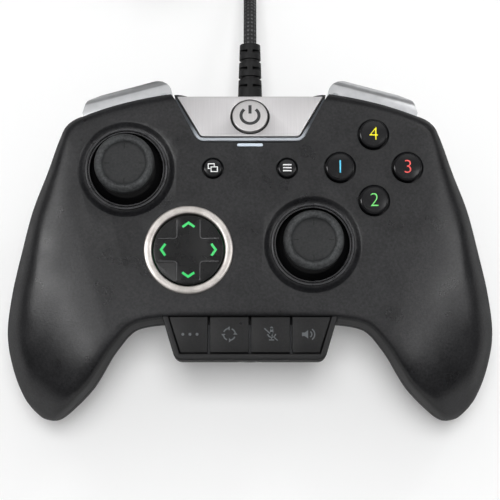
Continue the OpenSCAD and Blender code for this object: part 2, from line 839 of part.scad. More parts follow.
// Direction pad on a cross pivot, which turns in the fork of a fixed post
dpad_pivot_drop = 2.5;
dpad_rise = 0.2;
dpad_cross_rise = 0.9;
dpad_skirt = wall + 0.4;
dpad_ceiling = 1.3;
dpad_pocket_r = 5.4;
dpad_pin_r = 0.8;
dpad_pin_gap = 0.15;
dpad_ball_r = dpad_pivot_drop - dpad_ceiling - dpad_pin_gap;
dpad_ear_x = 1.9;
dpad_ear_t = 1.3;
dpad_lug_y = 3;
dpad_lug_t = 1.4;
dpad_lug_drop = 1.5;
dpad_fork_drop = 2.4;
dpad_nub_at = 8;
dpad_nub_r = 1.5;

module dpad() {
  lug_h = dpad_pivot_drop + dpad_lug_drop - dpad_ceiling + 0.2;
  color(dark) at(dpad_at, face_z) difference() {
    union() {
      difference() {
        translate([0, 0, -dpad_skirt]) cylinder(d = dpad_d, h = dpad_skirt + dpad_rise);
        translate([0, 0, -dpad_ceiling - 2 * cut]) cylinder(r = dpad_pocket_r, h = 2 * cut);
      }
      intersection() {
        for (turn = [0, 90]) rotate(turn) translate([0, 0, dpad_cross_rise / 2])
          cube([dpad_d, dpad_arm_w, dpad_cross_rise], center = true);
        turned([[0, -1], [dpad_d / 2 - 0.3, -1], [dpad_d / 2 - 0.3, dpad_cross_rise],
          [0.25 * dpad_d, dpad_rise + 0.3], [0, dpad_rise + 0.1]]);
      }
      for (turn = [0:90:270]) rotate(turn) translate([dpad_nub_at, 0, stem_bottom - face_z])
        cylinder(r = dpad_nub_r, h = face_z - stem_bottom - 1);
      for (s = [-1, 1])
        translate([-1.3, s * (dpad_lug_y + dpad_lug_t / 2) - dpad_lug_t / 2, 0.2 - dpad_ceiling - lug_h])
          cube([2.6, dpad_lug_t, lug_h]);
    }
    translate([0, 0, -dpad_pivot_drop]) rotate([90, 0, 0])
      cylinder(r = dpad_pin_r + dpad_pin_gap, h = 2 * dpad_pocket_r, center = true);
  }
}

module dpad_cradle() {
  color(steel) at(dpad_at, face_z - dpad_pivot_drop) {
    rotate([0, 90, 0]) cylinder(r = dpad_pin_r, h = 2 * (dpad_ear_x + dpad_ear_t), center = true);
    rotate([90, 0, 0]) cylinder(r = dpad_pin_r, h = 2 * (dpad_lug_y + dpad_lug_t), center = true);
    sphere(r = dpad_ball_r);
  }
}

module dpad_post() {
  pivot_h = face_z - dpad_pivot_drop - button_board_top;
  ear_h = pivot_h + 0.6;
  color(dark) at(dpad_at, button_board_top) difference() {
    union() {
      cylinder(r = dpad_ear_x + dpad_ear_t, h = pivot_h - dpad_fork_drop);
      for (s = [-1, 1]) translate([s * (dpad_ear_x + dpad_ear_t / 2), 0, ear_h / 2])
        cube([dpad_ear_t, 2.6, ear_h], center = true);
    }
    translate([0, 0, pivot_h]) rotate([0, 90, 0])
      cylinder(r = dpad_pin_r + dpad_pin_gap, h = 2 * cut, center = true);
  }
}

module dpad_membrane() {
  color(rubber) at(dpad_at) {
    translate([0, 0, button_board_top]) linear_extrude(membrane_t) difference() {
      circle(r = dpad_nub_at + 3);
      circle(r = dpad_ear_x + dpad_ear_t + 0.4);
    }
    for (turn = [0:90:270]) rotate(turn) translate([dpad_nub_at, 0, 0]) dome(2.6);
  }
}

// Sticks: a base with bearing walls, a gimbal ring that turns about X in it, a hub that turns
// about Y in the ring, and a lever with a thumb cap, which clicks down through the hub.
stick_pivot_z = face_z - stick_pivot_drop;
bearing_x = 6.5;
bearing_t = 1.5;
base_half = bearing_x + bearing_t;
base_floor_t = 1.5;
yoke_r = 5.8;
yoke_bore_r = 4.4;
yoke_h = 2.4;
axle_r = 1;
axle_gap = 0.2;
hub_r = 3.1;
hub_pin_r = 0.8;
lever_r = 1.8;
lever_low = 3.9;
lever_top = 13.5;
dome_r = 12.6;
dome_t = 1.2;
dome_reach = 78;
neck_r = 4.2;
cap_t = 4;

module stick_base() {
  floor_z = main_board_top - stick_pivot_z;
  difference() {
    union() {
      translate([-base_half, -base_half, floor_z])
        cube([2 * base_half, 2 * base_half, base_floor_t]);
      for (s = [-1, 1]) translate([s * (bearing_x + bearing_t / 2), 0, (floor_z + 2) / 2])
        cube([bearing_t, 7, 2 - floor_z], center = true);
      translate([base_half - 0.1, -5, floor_z]) cube([3.6, 10, 3.2]);
      translate([-5, -base_half - 3.5, floor_z]) cube([10, 3.6, 3.2]);
    }
    rotate([0, 90, 0]) cylinder(r = axle_r + axle_gap, h = 4 * cut, center = true);
  }
}

module stick_bases() {
  color(dark) for (p = sticks_at) at(p, stick_pivot_z) stick_base();
}

module stick_yoke(p) {
  color(steel) at(p, stick_pivot_z) difference() {
    union() {
      cylinder(r = yoke_r, h = yoke_h, center = true);
      rotate([0, 90, 0]) cylinder(r = axle_r, h = 2 * base_half - 0.4, center = true);
    }
    cylinder(r = yoke_bore_r, h = 2 * cut, center = true);
    rotate([90, 0, 0]) cylinder(r = hub_pin_r + axle_gap, h = 4 * cut, center = true);
  }
}

module left_stick_yoke() {
  stick_yoke(left_stick_at);
}

module right_stick_yoke() {
  stick_yoke(right_stick_at);
}

module stick_pivot(p) {
  color(silver) at(p, stick_pivot_z) difference() {
    union() {
      cylinder(r = hub_r, h = yoke_h, center = true);
      rotate([90, 0, 0]) cylinder(r = hub_pin_r, h = 2 * yoke_r - 0.4, center = true);
    }
    cylinder(r = lever_r + axle_gap, h = 2 * cut, center = true);
  }
}

module left_stick_pivot() {
  stick_pivot(left_stick_at);
}

module right_stick_pivot() {
  stick_pivot(right_stick_at);
}

module stick_lever(p) {
  color(steel) at(p, stick_pivot_z - lever_low) cylinder(r = lever_r, h = lever_low + lever_top);
}

module left_stick_lever() {
  stick_lever(left_stick_at);
}

module right_stick_lever() {
  stick_lever(right_stick_at);
}

function arc(r, from, to, steps) =
  [for (k = [0:steps]) let (a = from + (to - from) * k / steps) [r * sin(a), r * cos(a)]];

module stick_cap(p) {
  rim = stick_pivot_drop + stick_rise;
  low = rim - cap_t;
  r = stick_cap_d / 2;
  bore = lever_r + fit_gap;
  inner_r = dome_r - dome_t;
  color(rubber) at(p, stick_pivot_z) turned(concat(
    [[0, lever_top], [bore, lever_top]],
    arc(inner_r, asin(bore / inner_r), dome_reach, 12),
    arc(dome_r, dome_reach, asin(neck_r / dome_r), 12),
    [[neck_r, low - 0.4], [r - 1.6, low], [r - 0.4, low + 0.5], [r, low + 1.4], [r, rim - 1],
      [r - 0.35, rim - 0.3], [r - 1.1, rim], [r - 2.6, rim - 0.05], [r - 3.3, rim - 0.35],
      [r - 3.7, rim - 0.85], [r - 5, rim - 1.15], [0, rim - 1.4]]));
}

module left_stick_cap() {
  stick_cap(left_stick_at);
}

module right_stick_cap() {
  stick_cap(right_stick_at);
}

// Bumpers turn on upright pins, triggers on level pins held by the cheeks of their frames
module trigger_frame() {
  bay() difference() {
    union() {
      translate([-cheek_x - frame_t, frame_back_y, bay_floor_z])
        cube([2 * (cheek_x + frame_t), frame_t, bumper_low + 0.8 - bay_floor_z]);
      for (x = [-cheek_x - frame_t, cheek_x]) translate([x, frame_back_y, 0]) {
        translate([0, 0, trigger_pin_z - 4.5])
          cube([frame_t, 0.5 - frame_back_y, bumper_low - 0.4 - trigger_pin_z + 4.5]);
        translate([0, 0, trigger_pin_z]) cube([frame_t, 2.8, lip_under - trigger_pin_z]);
      }
      translate([-cheek_x - frame_t, bumper_pin_at[1] - 2.5, ledge_z])
        cube([frame_t + cheek_x + bumper_pin_at[0] + 2.5, 5, ledge_t]);
    }
    trigger_axis() cylinder(d = trigger_pin_d, h = 20 * cut, center = true);
    at(bumper_pin_at) cylinder(r = bumper_pin_r, h = 20 * cut, center = true);
  }
}

module trigger_frames() {
  color(dark) both_sides() trigger_frame();
}

module hinge_pins() {
  color(steel) both_sides() bay() {
    trigger_axis() cylinder(d = trigger_pin_d, h = 2 * (cheek_x + frame_t), center = true);
    at(bumper_pin_at, ledge_z) cylinder(r = bumper_pin_r, h = lip_under - ledge_z);
  }
}

module trigger_springs() {
  bore = trigger_pin_d + 0.4;
  color(steel) both_sides() bay() trigger_axis()
    translate([0, 0, -trigger_span / 2 + 0.3]) difference() {
      cylinder(d = bore + 2, h = spring_w - 0.6);
      cylinder(d = bore, h = 3 * spring_w, center = true);
    }
}

module bumper_switches() {
  color(dark) both_sides() bay() translate([0.28 * bumper_span, frame_face_y, bumper_low - 2])
    cube([4, bumper_tail_y - 1.6 - frame_face_y, 3]);
}

module bumper() {
  half = bumper_span / 2;
  out = bumper_out;
  rear = bumper_tail_y;
  low = bumper_low;
  top = bumper_top;
  color(silver) bay() difference() {
    intersection() {
      translate([0, 0, low]) linear_extrude(top - low)
        polygon([[-half, -1.6], [1.2 - half, rear], [half - 1.2, rear], [half, -1.6], [half, 0.6],
          [half - 1.7, out - 2.3], [half - 2.5, out - 1.5], [half - 3.8, out - 1.15],
          [half - 8, out - 0.5], [2, out - 0.1], [-3, out], [5.6 - half, out - 0.25],
          [3.4 - half, out - 0.75], [1.9 - half, out - 1.6], [0.8 - half, out - 2.8],
          [0.2 - half, out - 4], [-half, 0.9]]);
      rotate([90, 0, 90]) linear_extrude(2 * half, center = true)
        polygon([[rear, low], [out - 2, low], [out - 0.5, low + 1], [out, low + 3],
          [out, low + 5.4], [out - 0.6, top - 2], [out - 1.7, top - 0.8], [out - 3, top - 0.2],
          [0, top], [rear, top]]);
    }
    at(bumper_pin_at) cylinder(r = bumper_pin_r + pin_gap, h = 20 * cut, center = true);
  }
}

module right_bumper() {
  bumper();
}

module left_bumper() {
  left_side() bumper();
}

// Side view of a trigger about its hinge: the outer face from the top down, then the inner face
trigger_outer = [[-1.5, 3], [0.6, 5], [3, 5.4], [5.4, 4.3], [6.7, 2.5], [7.7, -3.5], [7.1, -10.5],
  [7.7, -17]];
trigger_inner = [[6.6, -17.3], [4.7, -11], [4.6, -5], [3.2, -2], [1, -3]];
function smooth(p, steps) = [for (k = [0:steps]) spline(p, k * (len(p) - 1) / steps)];

module trigger() {
  color(dark) bay() translate([0, trigger_pin_y, trigger_pin_z]) difference() {
    union() {
      rotate([90, 0, 90]) linear_extrude(trigger_span, center = true)
        polygon(concat(smooth(trigger_outer, 21), smooth(trigger_inner, 12)));
      translate([spring_w - trigger_span / 2, 0, 0]) rotate([0, 90, 0])
        cylinder(r = trigger_hub_r, h = trigger_span - spring_w);
    }
    rotate([0, 90, 0]) cylinder(d = trigger_pin_d + 2 * pin_gap, h = 20 * cut, center = true);
    translate([-trigger_span / 2 - 1, -2 * cut, -trigger_hub_r - 0.4])
      cube([spring_w + 1, 2 * cut + trigger_hub_r, 2 * trigger_hub_r + 0.8]);
  }
}

module right_trigger() {
  trigger();
}

module left_trigger() {
  left_side() trigger();
}

// Rumble motors and their weights
module rumble_motors() {
  color(steel) both_sides() on_motor() difference() {
    cylinder(r = motor_r, h = motor_l, center = true);
    cylinder(r = motor_shaft_r + pin_gap, h = motor_l);
  }
}

module rumble_weight() {
  color(silver) on_motor() translate([0, 0, motor_l / 2]) {
    translate([0, 0, -4]) cylinder(r = motor_shaft_r, h = 4 + weight_gap + weight_t);
    translate([0, 0, weight_gap]) {
      cylinder(r = 2.4, h = weight_t);
      intersection() {
        cylinder(r = weight_r, h = weight_t);
        translate([-2 * cut, 0, 0]) cube([4 * cut, 2 * cut, 2 * cut]);
      }
    }
  }
}

module right_rumble_weight() {
  rumble_weight();
}

module left_rumble_weight() {
  left_side() rumble_weight();
}

// Boot with cuts that let it bend: four slots between webs and a round groove in turn
boot_cuts = 5;
boot_cut_w = 1.05;
boot_web = 0.85;
boot_collar = 2.1;
boot_groove = 0.7;

module cable_boot() {
  flange_y = -wall - boot_flange_t;
  step = (boot_l - boot_collar) / (boot_cuts + 1.05);
  color(black) boot_axis() difference() {
    turned([[0, flange_y], [boot_flange_d / 2, flange_y], [boot_flange_d / 2, -wall],
      [boot_d / 2, -wall], [boot_d / 2, 0], [boot_end_d / 2, boot_l], [0, boot_l]]);
    for (k = [0:boot_cuts - 1]) translate([0, 0, boot_l - boot_collar - k * step - boot_cut_w]) {
      if (k % 2 == 0) for (turn = [0:90:270]) rotate(turn) translate([boot_web, boot_web, 0])
        cube([cut, cut, boot_cut_w]);
      else difference() {
        cylinder(d = boot_d + cut, h = boot_cut_w);
        cylinder(d = boot_end_d - 2 * boot_groove, h = 3 * boot_cut_w, center = true);
      }
    }
  }
}

// A tube along a path, with the same number of sides at every point
function way_at(path, i) =
  let (d = path[min(i + 1, len(path) - 1)] - path[max(i - 1, 0)]) d / norm(d);
function tube_ring(p, way, r, sides) =
  let (side = cross(way, [0, 0, 1]), right = side / norm(side), up = cross(right, way))
  [for (k = [0:sides - 1]) p + r * (cos(360 * k / sides) * right + sin(360 * k / sides) * up)];

module tube(path, r, sides) {
  last = (len(path) - 1) * sides;
  points = [for (i = [0:len(path) - 1]) each tube_ring(path[i], way_at(path, i), r, sides)];
  faces = concat(
    [[for (k = [sides - 1:-1:0]) k], [for (k = [0:sides - 1]) last + k]],
    [for (i = [0:len(path) - 2], k = [0:sides - 1])
      let (a = i * sides + k, b = i * sides + (k + 1) % sides)
      each [[a, b, b + sides], [a, b + sides, a + sides]]]);
  polyhedron(points, faces, convexity = 10);
}

// The coil winds in and out in layers, climbing a layer in the half turn round each reversal
coil_y = 140;
coil_layers = 4;
coil_end_turns = coil_layers * coil_layer_turns - 0.75;
coil_steps = 24;
coil_sides = 6;
coil_pitch = cable_d + coil_gap;
coil_clear = 1.35;
coil_low_z = coil_clear + cable_d / 2;
coil_at = [-coil_r, coil_y];
coil_points = floor(coil_end_turns * coil_steps);

function coil_in(turn) = let (f = turn / coil_layer_turns, k = floor(f))
  coil_layer_turns * (k % 2 == 0 ? f - k : 1 - f + k);
function coil_climb(turn) = let (k = round(turn / coil_layer_turns))
  k == 0 ? 0 : k - 1 + min(max((turn - k * coil_layer_turns) * 2 + 0.5, 0), 1);
function coil_point(turn) =
  let (r = coil_r - coil_pitch * coil_in(turn), z = coil_low_z + coil_pitch * coil_climb(turn))
  [coil_at[0] + r * cos(360 * turn), coil_at[1] + r * sin(360 * turn), z];
coil_turns = [for (i = [0:coil_points]) coil_point(i / coil_steps)];
coil_least = min([for (i = [0:coil_points - 13]) min([for (j = [i + 13:coil_points])
  norm(coil_turns[i] - coil_turns[j])])]) - cable_d;

// Both ends of the coil run straight for one diameter
coil_way = way_at(coil_turns, coil_points);
coil_start = coil_turns[0] - [0, cable_d, 0];
coil_end = coil_turns[coil_points] + cable_d * coil_way;
coil_path = concat([coil_start], coil_turns, [coil_end]);

function path_length(path) = len(path) < 2 ? 0
  : [for (i = 0, sum = 0; i < len(path) - 1; sum = sum + norm(path[i + 1] - path[i]), i = i + 1)
      sum + norm(path[i + 1] - path[i])][len(path) - 2];

module cable_coil() {
  color(dark) tube(coil_path, cable_d / 2, coil_sides);
}

// The lead runs from the boot down to the coil, and the tail from the coil to the plug
plug_z = 4;
plug_at = [-86, 158];
plug_l = 40;
plug_w = 16;
lead_route = [[0, boot_end_y + cable_d, part_z], [0, 80, 31.2],
  [0, 90, 25], [0, 100, 15.5], [0, 110, 8], [0, 120, coil_low_z + 0.9], [0, 130, coil_low_z]];
tail_route = [coil_end + 0.4 * cable_d * coil_way, [-54, 174.2, 17.2], [-67, 174, 12.5],
  [-77, 171.2, 7.5], [-83.6, 166.2, 4.8], [plug_at[0], plug_at[1] + cable_d, plug_z]];
lead_path = concat([[0, boot_end_y, part_z]], smooth(lead_route, 3 * (len(lead_route) - 1)),
  [coil_start]);
tail_path = concat([coil_end], smooth(tail_route, 3 * (len(tail_route) - 1)),
  [[plug_at[0], plug_at[1], plug_z]]);
cable_sides = 10;

module cable_lead() {
  color(dark) tube(lead_path, cable_d / 2, cable_sides);
}

module cable_tail() {
  color(dark) tube(tail_path, cable_d / 2, cable_sides);
}

echo(coil_least_gap = coil_least);
echo(cable_length = path_length(coil_path) + path_length(lead_path) + path_length(tail_path));

// A strap round the whole winding
tie_turn = 290;
tie_w = 9;
tie_t = 1.1;
coil_inner_r = coil_r - coil_layer_turns * coil_pitch - cable_d / 2;
tie_from = sqrt(pow(coil_inner_r, 2) - pow(tie_w / 2, 2)) - 0.3;
tie_to = coil_r + cable_d / 2 + 0.3;
tie_h = coil_clear + 3 * coil_pitch + cable_d + 0.2;

module cable_tie() {
  color(black) at(coil_at) rotate(tie_turn) rotate([90, 0, 0])
    linear_extrude(tie_w, center = true) difference() {
      translate([tie_from - tie_t, 0]) square([tie_to - tie_from + 2 * tie_t, tie_h + tie_t]);
      translate([tie_from, coil_clear - 0.05]) square([tie_to - tie_from, tie_h - coil_clear]);
    }
}

module usb_plug_body() {
  r = 2.4;
  color(dark) at(plug_at) rotate([90, 0, 0]) {
    linear_extrude(plug_l) translate([0, plug_z]) offset(r) square([plug_w - 2 * r, 2 * plug_z - 2 * r], center = true);
  }
}

module usb_plug_shell() {
  color(steel) translate([plug_at[0], plug_at[1] - plug_l, plug_z]) rotate([90, 0, 0])
    difference() {
      linear_extrude(12) square([12, 4.5], center = true);
      translate([0, 0, 1]) linear_extrude(12) square([11.3, 3.8], center = true);
    }
}

front_shell();
rear_shell();
shell_screws();
centre_plate();
plate_light_strip();
status_light_bar();
dpad_ring();
stick_rings();
panel_tray();
panel_bezel();
panel_board();
panel_membrane();
headset_socket();
button_board();
main_board();
board_spacers();
face_button_membrane();
centre_button_membrane();
dpad_membrane();
dpad_post();
stick_bases();
trigger_frames();
hinge_pins();
trigger_springs();
bumper_switches();
rumble_motors();
cable_boot();
cable_lead();
cable_coil();
cable_tail();
cable_tie();
usb_plug_body();
usb_plug_shell();
left_stick_yoke();
right_stick_yoke();
left_stick_pivot();
right_stick_pivot();
left_stick_lever();
right_stick_lever();
left_stick_cap();
right_stick_cap();
dpad_cradle();
dpad();
face_button_top();
face_button_left();
face_button_right();
face_button_bottom();
view_button();
menu_button();
home_button();
profile_key();
remap_key();
mute_key();
volume_key();
left_bumper();
right_bumper();
left_trigger();
right_trigger();
left_rumble_weight();
right_rumble_weight();
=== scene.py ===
# %% [markdown]
# # Dressing a wired gamepad
# The pad arrives as a frame of plain solids that already fit and move. This lesson keeps their
# places and gives every visible piece the surface, edges and finish of the real one: soft
# black plastic, brushed metal, glossy buttons, worn rubber and a braided cable.

import json
import math

import bpy
from mathutils import Matrix, Vector


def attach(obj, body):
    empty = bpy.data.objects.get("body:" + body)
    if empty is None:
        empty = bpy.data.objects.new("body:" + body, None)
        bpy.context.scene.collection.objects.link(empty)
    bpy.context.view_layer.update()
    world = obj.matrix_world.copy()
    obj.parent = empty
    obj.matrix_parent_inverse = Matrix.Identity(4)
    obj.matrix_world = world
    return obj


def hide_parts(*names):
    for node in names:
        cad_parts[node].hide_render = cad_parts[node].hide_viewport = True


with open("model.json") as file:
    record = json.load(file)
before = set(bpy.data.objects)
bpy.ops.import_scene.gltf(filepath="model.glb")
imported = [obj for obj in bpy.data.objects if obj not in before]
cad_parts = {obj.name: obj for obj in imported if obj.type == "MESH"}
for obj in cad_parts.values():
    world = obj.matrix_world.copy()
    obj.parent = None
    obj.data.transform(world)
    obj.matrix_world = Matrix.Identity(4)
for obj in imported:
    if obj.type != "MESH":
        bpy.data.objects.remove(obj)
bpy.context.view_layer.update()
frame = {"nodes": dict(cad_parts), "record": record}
nodes = frame["nodes"]
MM = 0.001
print("nodes in the frame:", len(nodes))

# %% [markdown]
# ## Small hands
# Operators act on whatever is selected, so each step first selects just its own piece. A
# finished piece keeps its place in its mesh, as the frame's own solids do, which is why every
# piece passes through `freeze`.

# %% Helpers for selecting, editing, freezing and handing a piece to its body
def pick(piece):
    bpy.ops.object.select_all(action="DESELECT")
    piece.select_set(True)
    bpy.context.view_layer.objects.active = piece


def freeze(piece):
    pick(piece)
    bpy.ops.object.transform_apply(location=True, rotation=True, scale=True)
    for modifier in list(piece.modifiers):
        bpy.ops.object.modifier_apply(modifier=modifier.name)
    return piece


def edit(piece, *steps):
    pick(piece)
    bpy.ops.object.mode_set(mode="EDIT")
    for operator, settings in steps:
        bpy.ops.mesh.select_all(action="SELECT")
        operator(**settings)
    bpy.ops.object.mode_set(mode="OBJECT")
    return piece


def smooth(piece, angle=35):
    pick(piece)
    bpy.ops.object.shade_smooth_by_angle(angle=math.radians(angle))
    return piece


def fit(piece, material, body="housing", instead_of=()):
    piece.data.materials.clear()
    piece.data.materials.append(material)
    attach(piece, body)
    if instead_of:
        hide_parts(*instead_of)
    return piece


def link(name, data):
    thing = bpy.data.objects.new(name, data)
    bpy.context.scene.collection.objects.link(thing)
    return thing


def new_piece(name, points, edges=(), faces=()):
    mesh = bpy.data.meshes.new(name)
    mesh.from_pydata([(x * MM, y * MM, z * MM) for x, y, z in points], edges, faces)
    return link(name, mesh)


FACE_OUTWARDS = (bpy.ops.mesh.normals_make_consistent, {"inside": False})

# %% [markdown]
# ## Camera
# The photograph looks down on the face, nine degrees off its normal, from about half a metre.
# A long lens keeps the outline from bulging. The camera is aimed at one point just
# behind the middle of the face.

# %% Camera at the photograph's view
AIM = Vector((0, -2, 48)) * MM
ELEVATION = math.radians(81)
DISTANCE = 500 * MM
SENSOR_MM = 36
PICTURE_PX, FOCAL_PX = 500, 1602.6

camera_data = bpy.data.cameras.new("portrait_camera")
camera_data.sensor_width = SENSOR_MM
camera_data.lens = SENSOR_MM * FOCAL_PX / PICTURE_PX
camera = link("portrait_camera", camera_data)
away = Vector((0, -math.cos(ELEVATION), math.sin(ELEVATION)))
camera.location = AIM + away * DISTANCE
camera.rotation_euler = (-away).to_track_quat("-Z", "Y").to_euler()
bpy.context.scene.camera = camera
print("camera at", [round(c, 4) for c in camera.location])

# %% [markdown]
# ## Colours and shader nodes
# Colours are written as the hex values seen in the picture and turned to linear light by one
# function. `add` makes a shader node, sets what it needs and links its inputs, so that a
# material reads as a short list.

# %% Colour and node helpers
def hex_colour(code):
    parts = [int(code[i:i + 2], 16) / 255 for i in (1, 3, 5)]
    linear = [c / 12.92 if c <= 0.04045 else ((c + 0.055) / 1.055) ** 2.4 for c in parts]
    return (*linear, 1)


def add(tree, kind, links=(), values=(), **settings):
    node = tree.nodes.new("ShaderNode" + kind)
    for name, value in settings.items():
        setattr(node, name, value)
    for socket, value in dict(values).items():
        node.inputs[socket].default_value = value
    for socket, source in dict(links).items():
        tree.links.new(source, node.inputs[socket])
    return node


def new_material(name, colour, roughness, metallic=0, ior=1.5, specular=0.5):
    material = bpy.data.materials.new(name)
    material.use_nodes = True
    shader = material.node_tree.nodes["Principled BSDF"]
    shader.inputs["Base Color"].default_value = hex_colour(colour)
    shader.inputs["Roughness"].default_value = roughness
    shader.inputs["Metallic"].default_value = metallic
    if not metallic:
        shader.inputs["IOR"].default_value = ior
        shader.inputs["Specular IOR Level"].default_value = specular
    return material, material.node_tree, shader


def per_metre(size_mm):
    return 1000 / size_mm


def noise(tree, place, size_mm, detail, roughness=0.5):
    return add(tree, "TexNoise", {"Vector": place.outputs["Object"]},
               {"Scale": per_metre(size_mm), "Detail": detail, "Roughness": roughness}).outputs["Fac"]


def reckon(tree, operation, *terms):
    numbers = {k: term for k, term in enumerate(terms) if isinstance(term, (int, float))}
    sources = {k: term for k, term in enumerate(terms) if k not in numbers}
    return add(tree, "Math", sources, numbers, operation=operation).outputs[0]


def two_tones(tree, shader, source, dark, pale, low=0, high=1):
    tone = add(tree, "ValToRGB", {"Fac": source})
    for element, place, colour in zip(tone.color_ramp.elements, (low, high), (dark, pale)):
        element.position, element.color = place, hex_colour(colour)
    tree.links.new(tone.outputs["Color"], shader.inputs["Base Color"])


# %% [markdown]
# ## Braided cable
# The lead is a USB cable in a woven black sleeve with paler threads. It is one tube, three
# metres long: out of the boot, down to the table, round the coil and on to the plug. The tube
# is made as rings along the same route as the solid one, with a map whose first axis runs
# along the cable in metres, so that the weave follows every bend.

# %% Route of the cable, in millimetres
CABLE_D = 4.2
COIL_R, COIL_Y, COIL_TURNS, COIL_LAYERS = 35.9, 140, 5, 4
POINTS_PER_TURN = 24
COIL_PITCH = CABLE_D + 0.5
COIL_LOW = 1.35 + CABLE_D / 2
BOOT_END, PLUG_END = (0, 68.2, 33), (-86, 158, 4)


def spline(points, t):
    last = len(points) - 1
    i = min(int(t), last - 1)
    f = t - i
    a, b = points[max(i - 1, 0)], points[i]
    c, d = points[i + 1], points[min(i + 2, last)]
    if not hasattr(a, "__len__"):
        return b + 0.5 * f * ((c - a) + f * ((2 * a - 5 * b + 4 * c - d) + f * (3 * (b - c) + d - a)))
    return tuple(spline(column, t) for column in zip(*points))


def along(points, steps):
    return [spline(points, k * (len(points) - 1) / steps) for k in range(steps + 1)]


def coil_point(turn):
    layer = turn / COIL_TURNS
    inward = COIL_TURNS * (layer % 1 if int(layer) % 2 == 0 else 1 - layer % 1)
    k = math.floor(layer + 0.5)
    climb = 0 if k == 0 else k - 1 + min(max((turn - k * COIL_TURNS) * 2 + 0.5, 0), 1)
    r, way = COIL_R - COIL_PITCH * inward, 2 * math.pi * turn
    return (-COIL_R + r * math.cos(way), COIL_Y + r * math.sin(way), COIL_LOW + COIL_PITCH * climb)


coil_steps = int((COIL_LAYERS * COIL_TURNS - 0.75) * POINTS_PER_TURN)
coil_turns = [Vector(coil_point(k / POINTS_PER_TURN)) for k in range(coil_steps + 1)]
onward = (coil_turns[-1] - coil_turns[-2]).normalized() * CABLE_D
coil_end = coil_turns[-1] + onward
coil_route = [(0, COIL_Y - CABLE_D, COIL_LOW), *coil_turns, coil_end]
lead_points = [(0, BOOT_END[1] + CABLE_D, BOOT_END[2]), (0, 80, 31.2), (0, 90, 25), (0, 100, 15.5),
               (0, 110, 8), (0, 120, COIL_LOW + 0.9), (0, 130, COIL_LOW)]
tail_points = [tuple(coil_end + 0.4 * onward), (-54, 174.2, 17.2), (-67, 174, 12.5), (-77, 171.2, 7.5),
               (-83.6, 166.2, 4.8), (PLUG_END[0], PLUG_END[1] + CABLE_D, PLUG_END[2])]
route = [BOOT_END, *along(lead_points, 30), *coil_route, *along(tail_points, 25), PLUG_END]
route = [tuple(p) for p in route]

# %% Tube along the route
def tube(name, path, radius, sides):
    points, faces, corners = [], [], []
    run = 0
    for i, p in enumerate(path):
        run += math.dist(path[i - 1], p) if i else 0
        way = (Vector(path[min(i + 1, len(path) - 1)]) - Vector(path[max(i - 1, 0)])).normalized()
        right = way.cross(Vector((0, 0, 1))).normalized()
        up = right.cross(way)
        for k in range(sides):
            turn = 2 * math.pi * k / sides
            points.append(Vector(p) + radius * (math.cos(turn) * right + math.sin(turn) * up))
        for k in range(sides if i else 0):
            a, b = (i - 1) * sides + k, (i - 1) * sides + (k + 1) % sides
            faces.append((a, b, b + sides, a + sides))
            low, high = run - math.dist(path[i - 1], p), run
            corners += [(low, k), (low, k + 1), (high, k + 1), (high, k)]
    last = (len(path) - 1) * sides
    faces += [tuple(range(sides - 1, -1, -1)), tuple(range(last, last + sides))]
    corners += [(0, 0)] * (2 * sides)
    piece = new_piece(name, points, faces=faces)
    uv = piece.data.uv_layers.new(name="along_and_round")
    for loop, (u, k) in zip(uv.data, corners):
        loop.uv = (u * MM, k / sides)
    return smooth(piece, 60)


cable = tube("braided_cable", route, CABLE_D / 2, 14)
print("cable faces:", len(cable.data.polygons))

# %% [markdown]
# ## Studio
# The pad lies on a plain white sweep in a light tent that is brightest overhead, so its shadow
# stays close under the grips. The lamp above gives only diffuse light, because the level face
# would mirror it. Two boxes to the sides do the opposite: they show only as a sheen where the
# face rolls over into the grips. One behind is what the sloping plate mirrors.

# %% Floor, lights and world
def soft_light(name, place, size, power, aim=(0, 0, 0.03)):
    data = bpy.data.lights.new(name, "AREA")
    data.shape = "RECTANGLE"
    data.size, data.size_y = size
    data.energy = power
    lamp = link(name, data)
    lamp.location = place
    lamp.rotation_euler = (Vector(aim) - Vector(place)).to_track_quat("-Z", "Y").to_euler()
    return lamp


soft_light("top_softbox", (0, 0.06, 1.3), (0.4, 0.4), 10).visible_glossy = False
soft_light("left_sheen", (-0.66, 0.1, 0.95), (0.3, 0.9), 7).visible_diffuse = False
soft_light("right_sheen", (0.66, 0.1, 0.95), (0.3, 0.9), 4).visible_diffuse = False
soft_light("back_softbox", (0, 0.7, 1.0), (1.5, 0.7), 2.6)
soft_light("glint_lamp", (0.5, 0.75, 0.9), (0.12, 0.12), 0.6)

bpy.ops.object.select_all(action="DESELECT")
bpy.ops.mesh.primitive_plane_add(size=6, location=(0, 0, -0.0002))
floor = bpy.context.object
floor.name = "white_sweep"
paper, tree, shader = new_material("white_paper", "#f7f7f7", 0.8, specular=0.2)
seen = add(tree, "LightPath")
mirrored = reckon(tree, "ADD", seen.outputs["Is Glossy Ray"], seen.outputs["Is Transmission Ray"])
shown = reckon(tree, "MAXIMUM", seen.outputs["Is Camera Ray"], mirrored)
tone = add(tree, "Mix", {"Factor": shown}, {"A": hex_colour("#7c7c7c"), "B": hex_colour("#fdfdfd")},
           data_type="RGBA")
tree.links.new(tone.outputs["Result"], shader.inputs["Base Color"])
glow = add(tree, "Emission", values={"Color": (1, 1, 1, 1), "Strength": 1.0})
share = reckon(tree, "MULTIPLY", seen.outputs["Is Camera Ray"], 0.18)
mixed = add(tree, "MixShader", {0: share, 1: shader.outputs[0], 2: glow.outputs[0]})
tree.links.new(mixed.outputs[0], tree.nodes["Material Output"].inputs["Surface"])
floor.data.materials.append(paper)

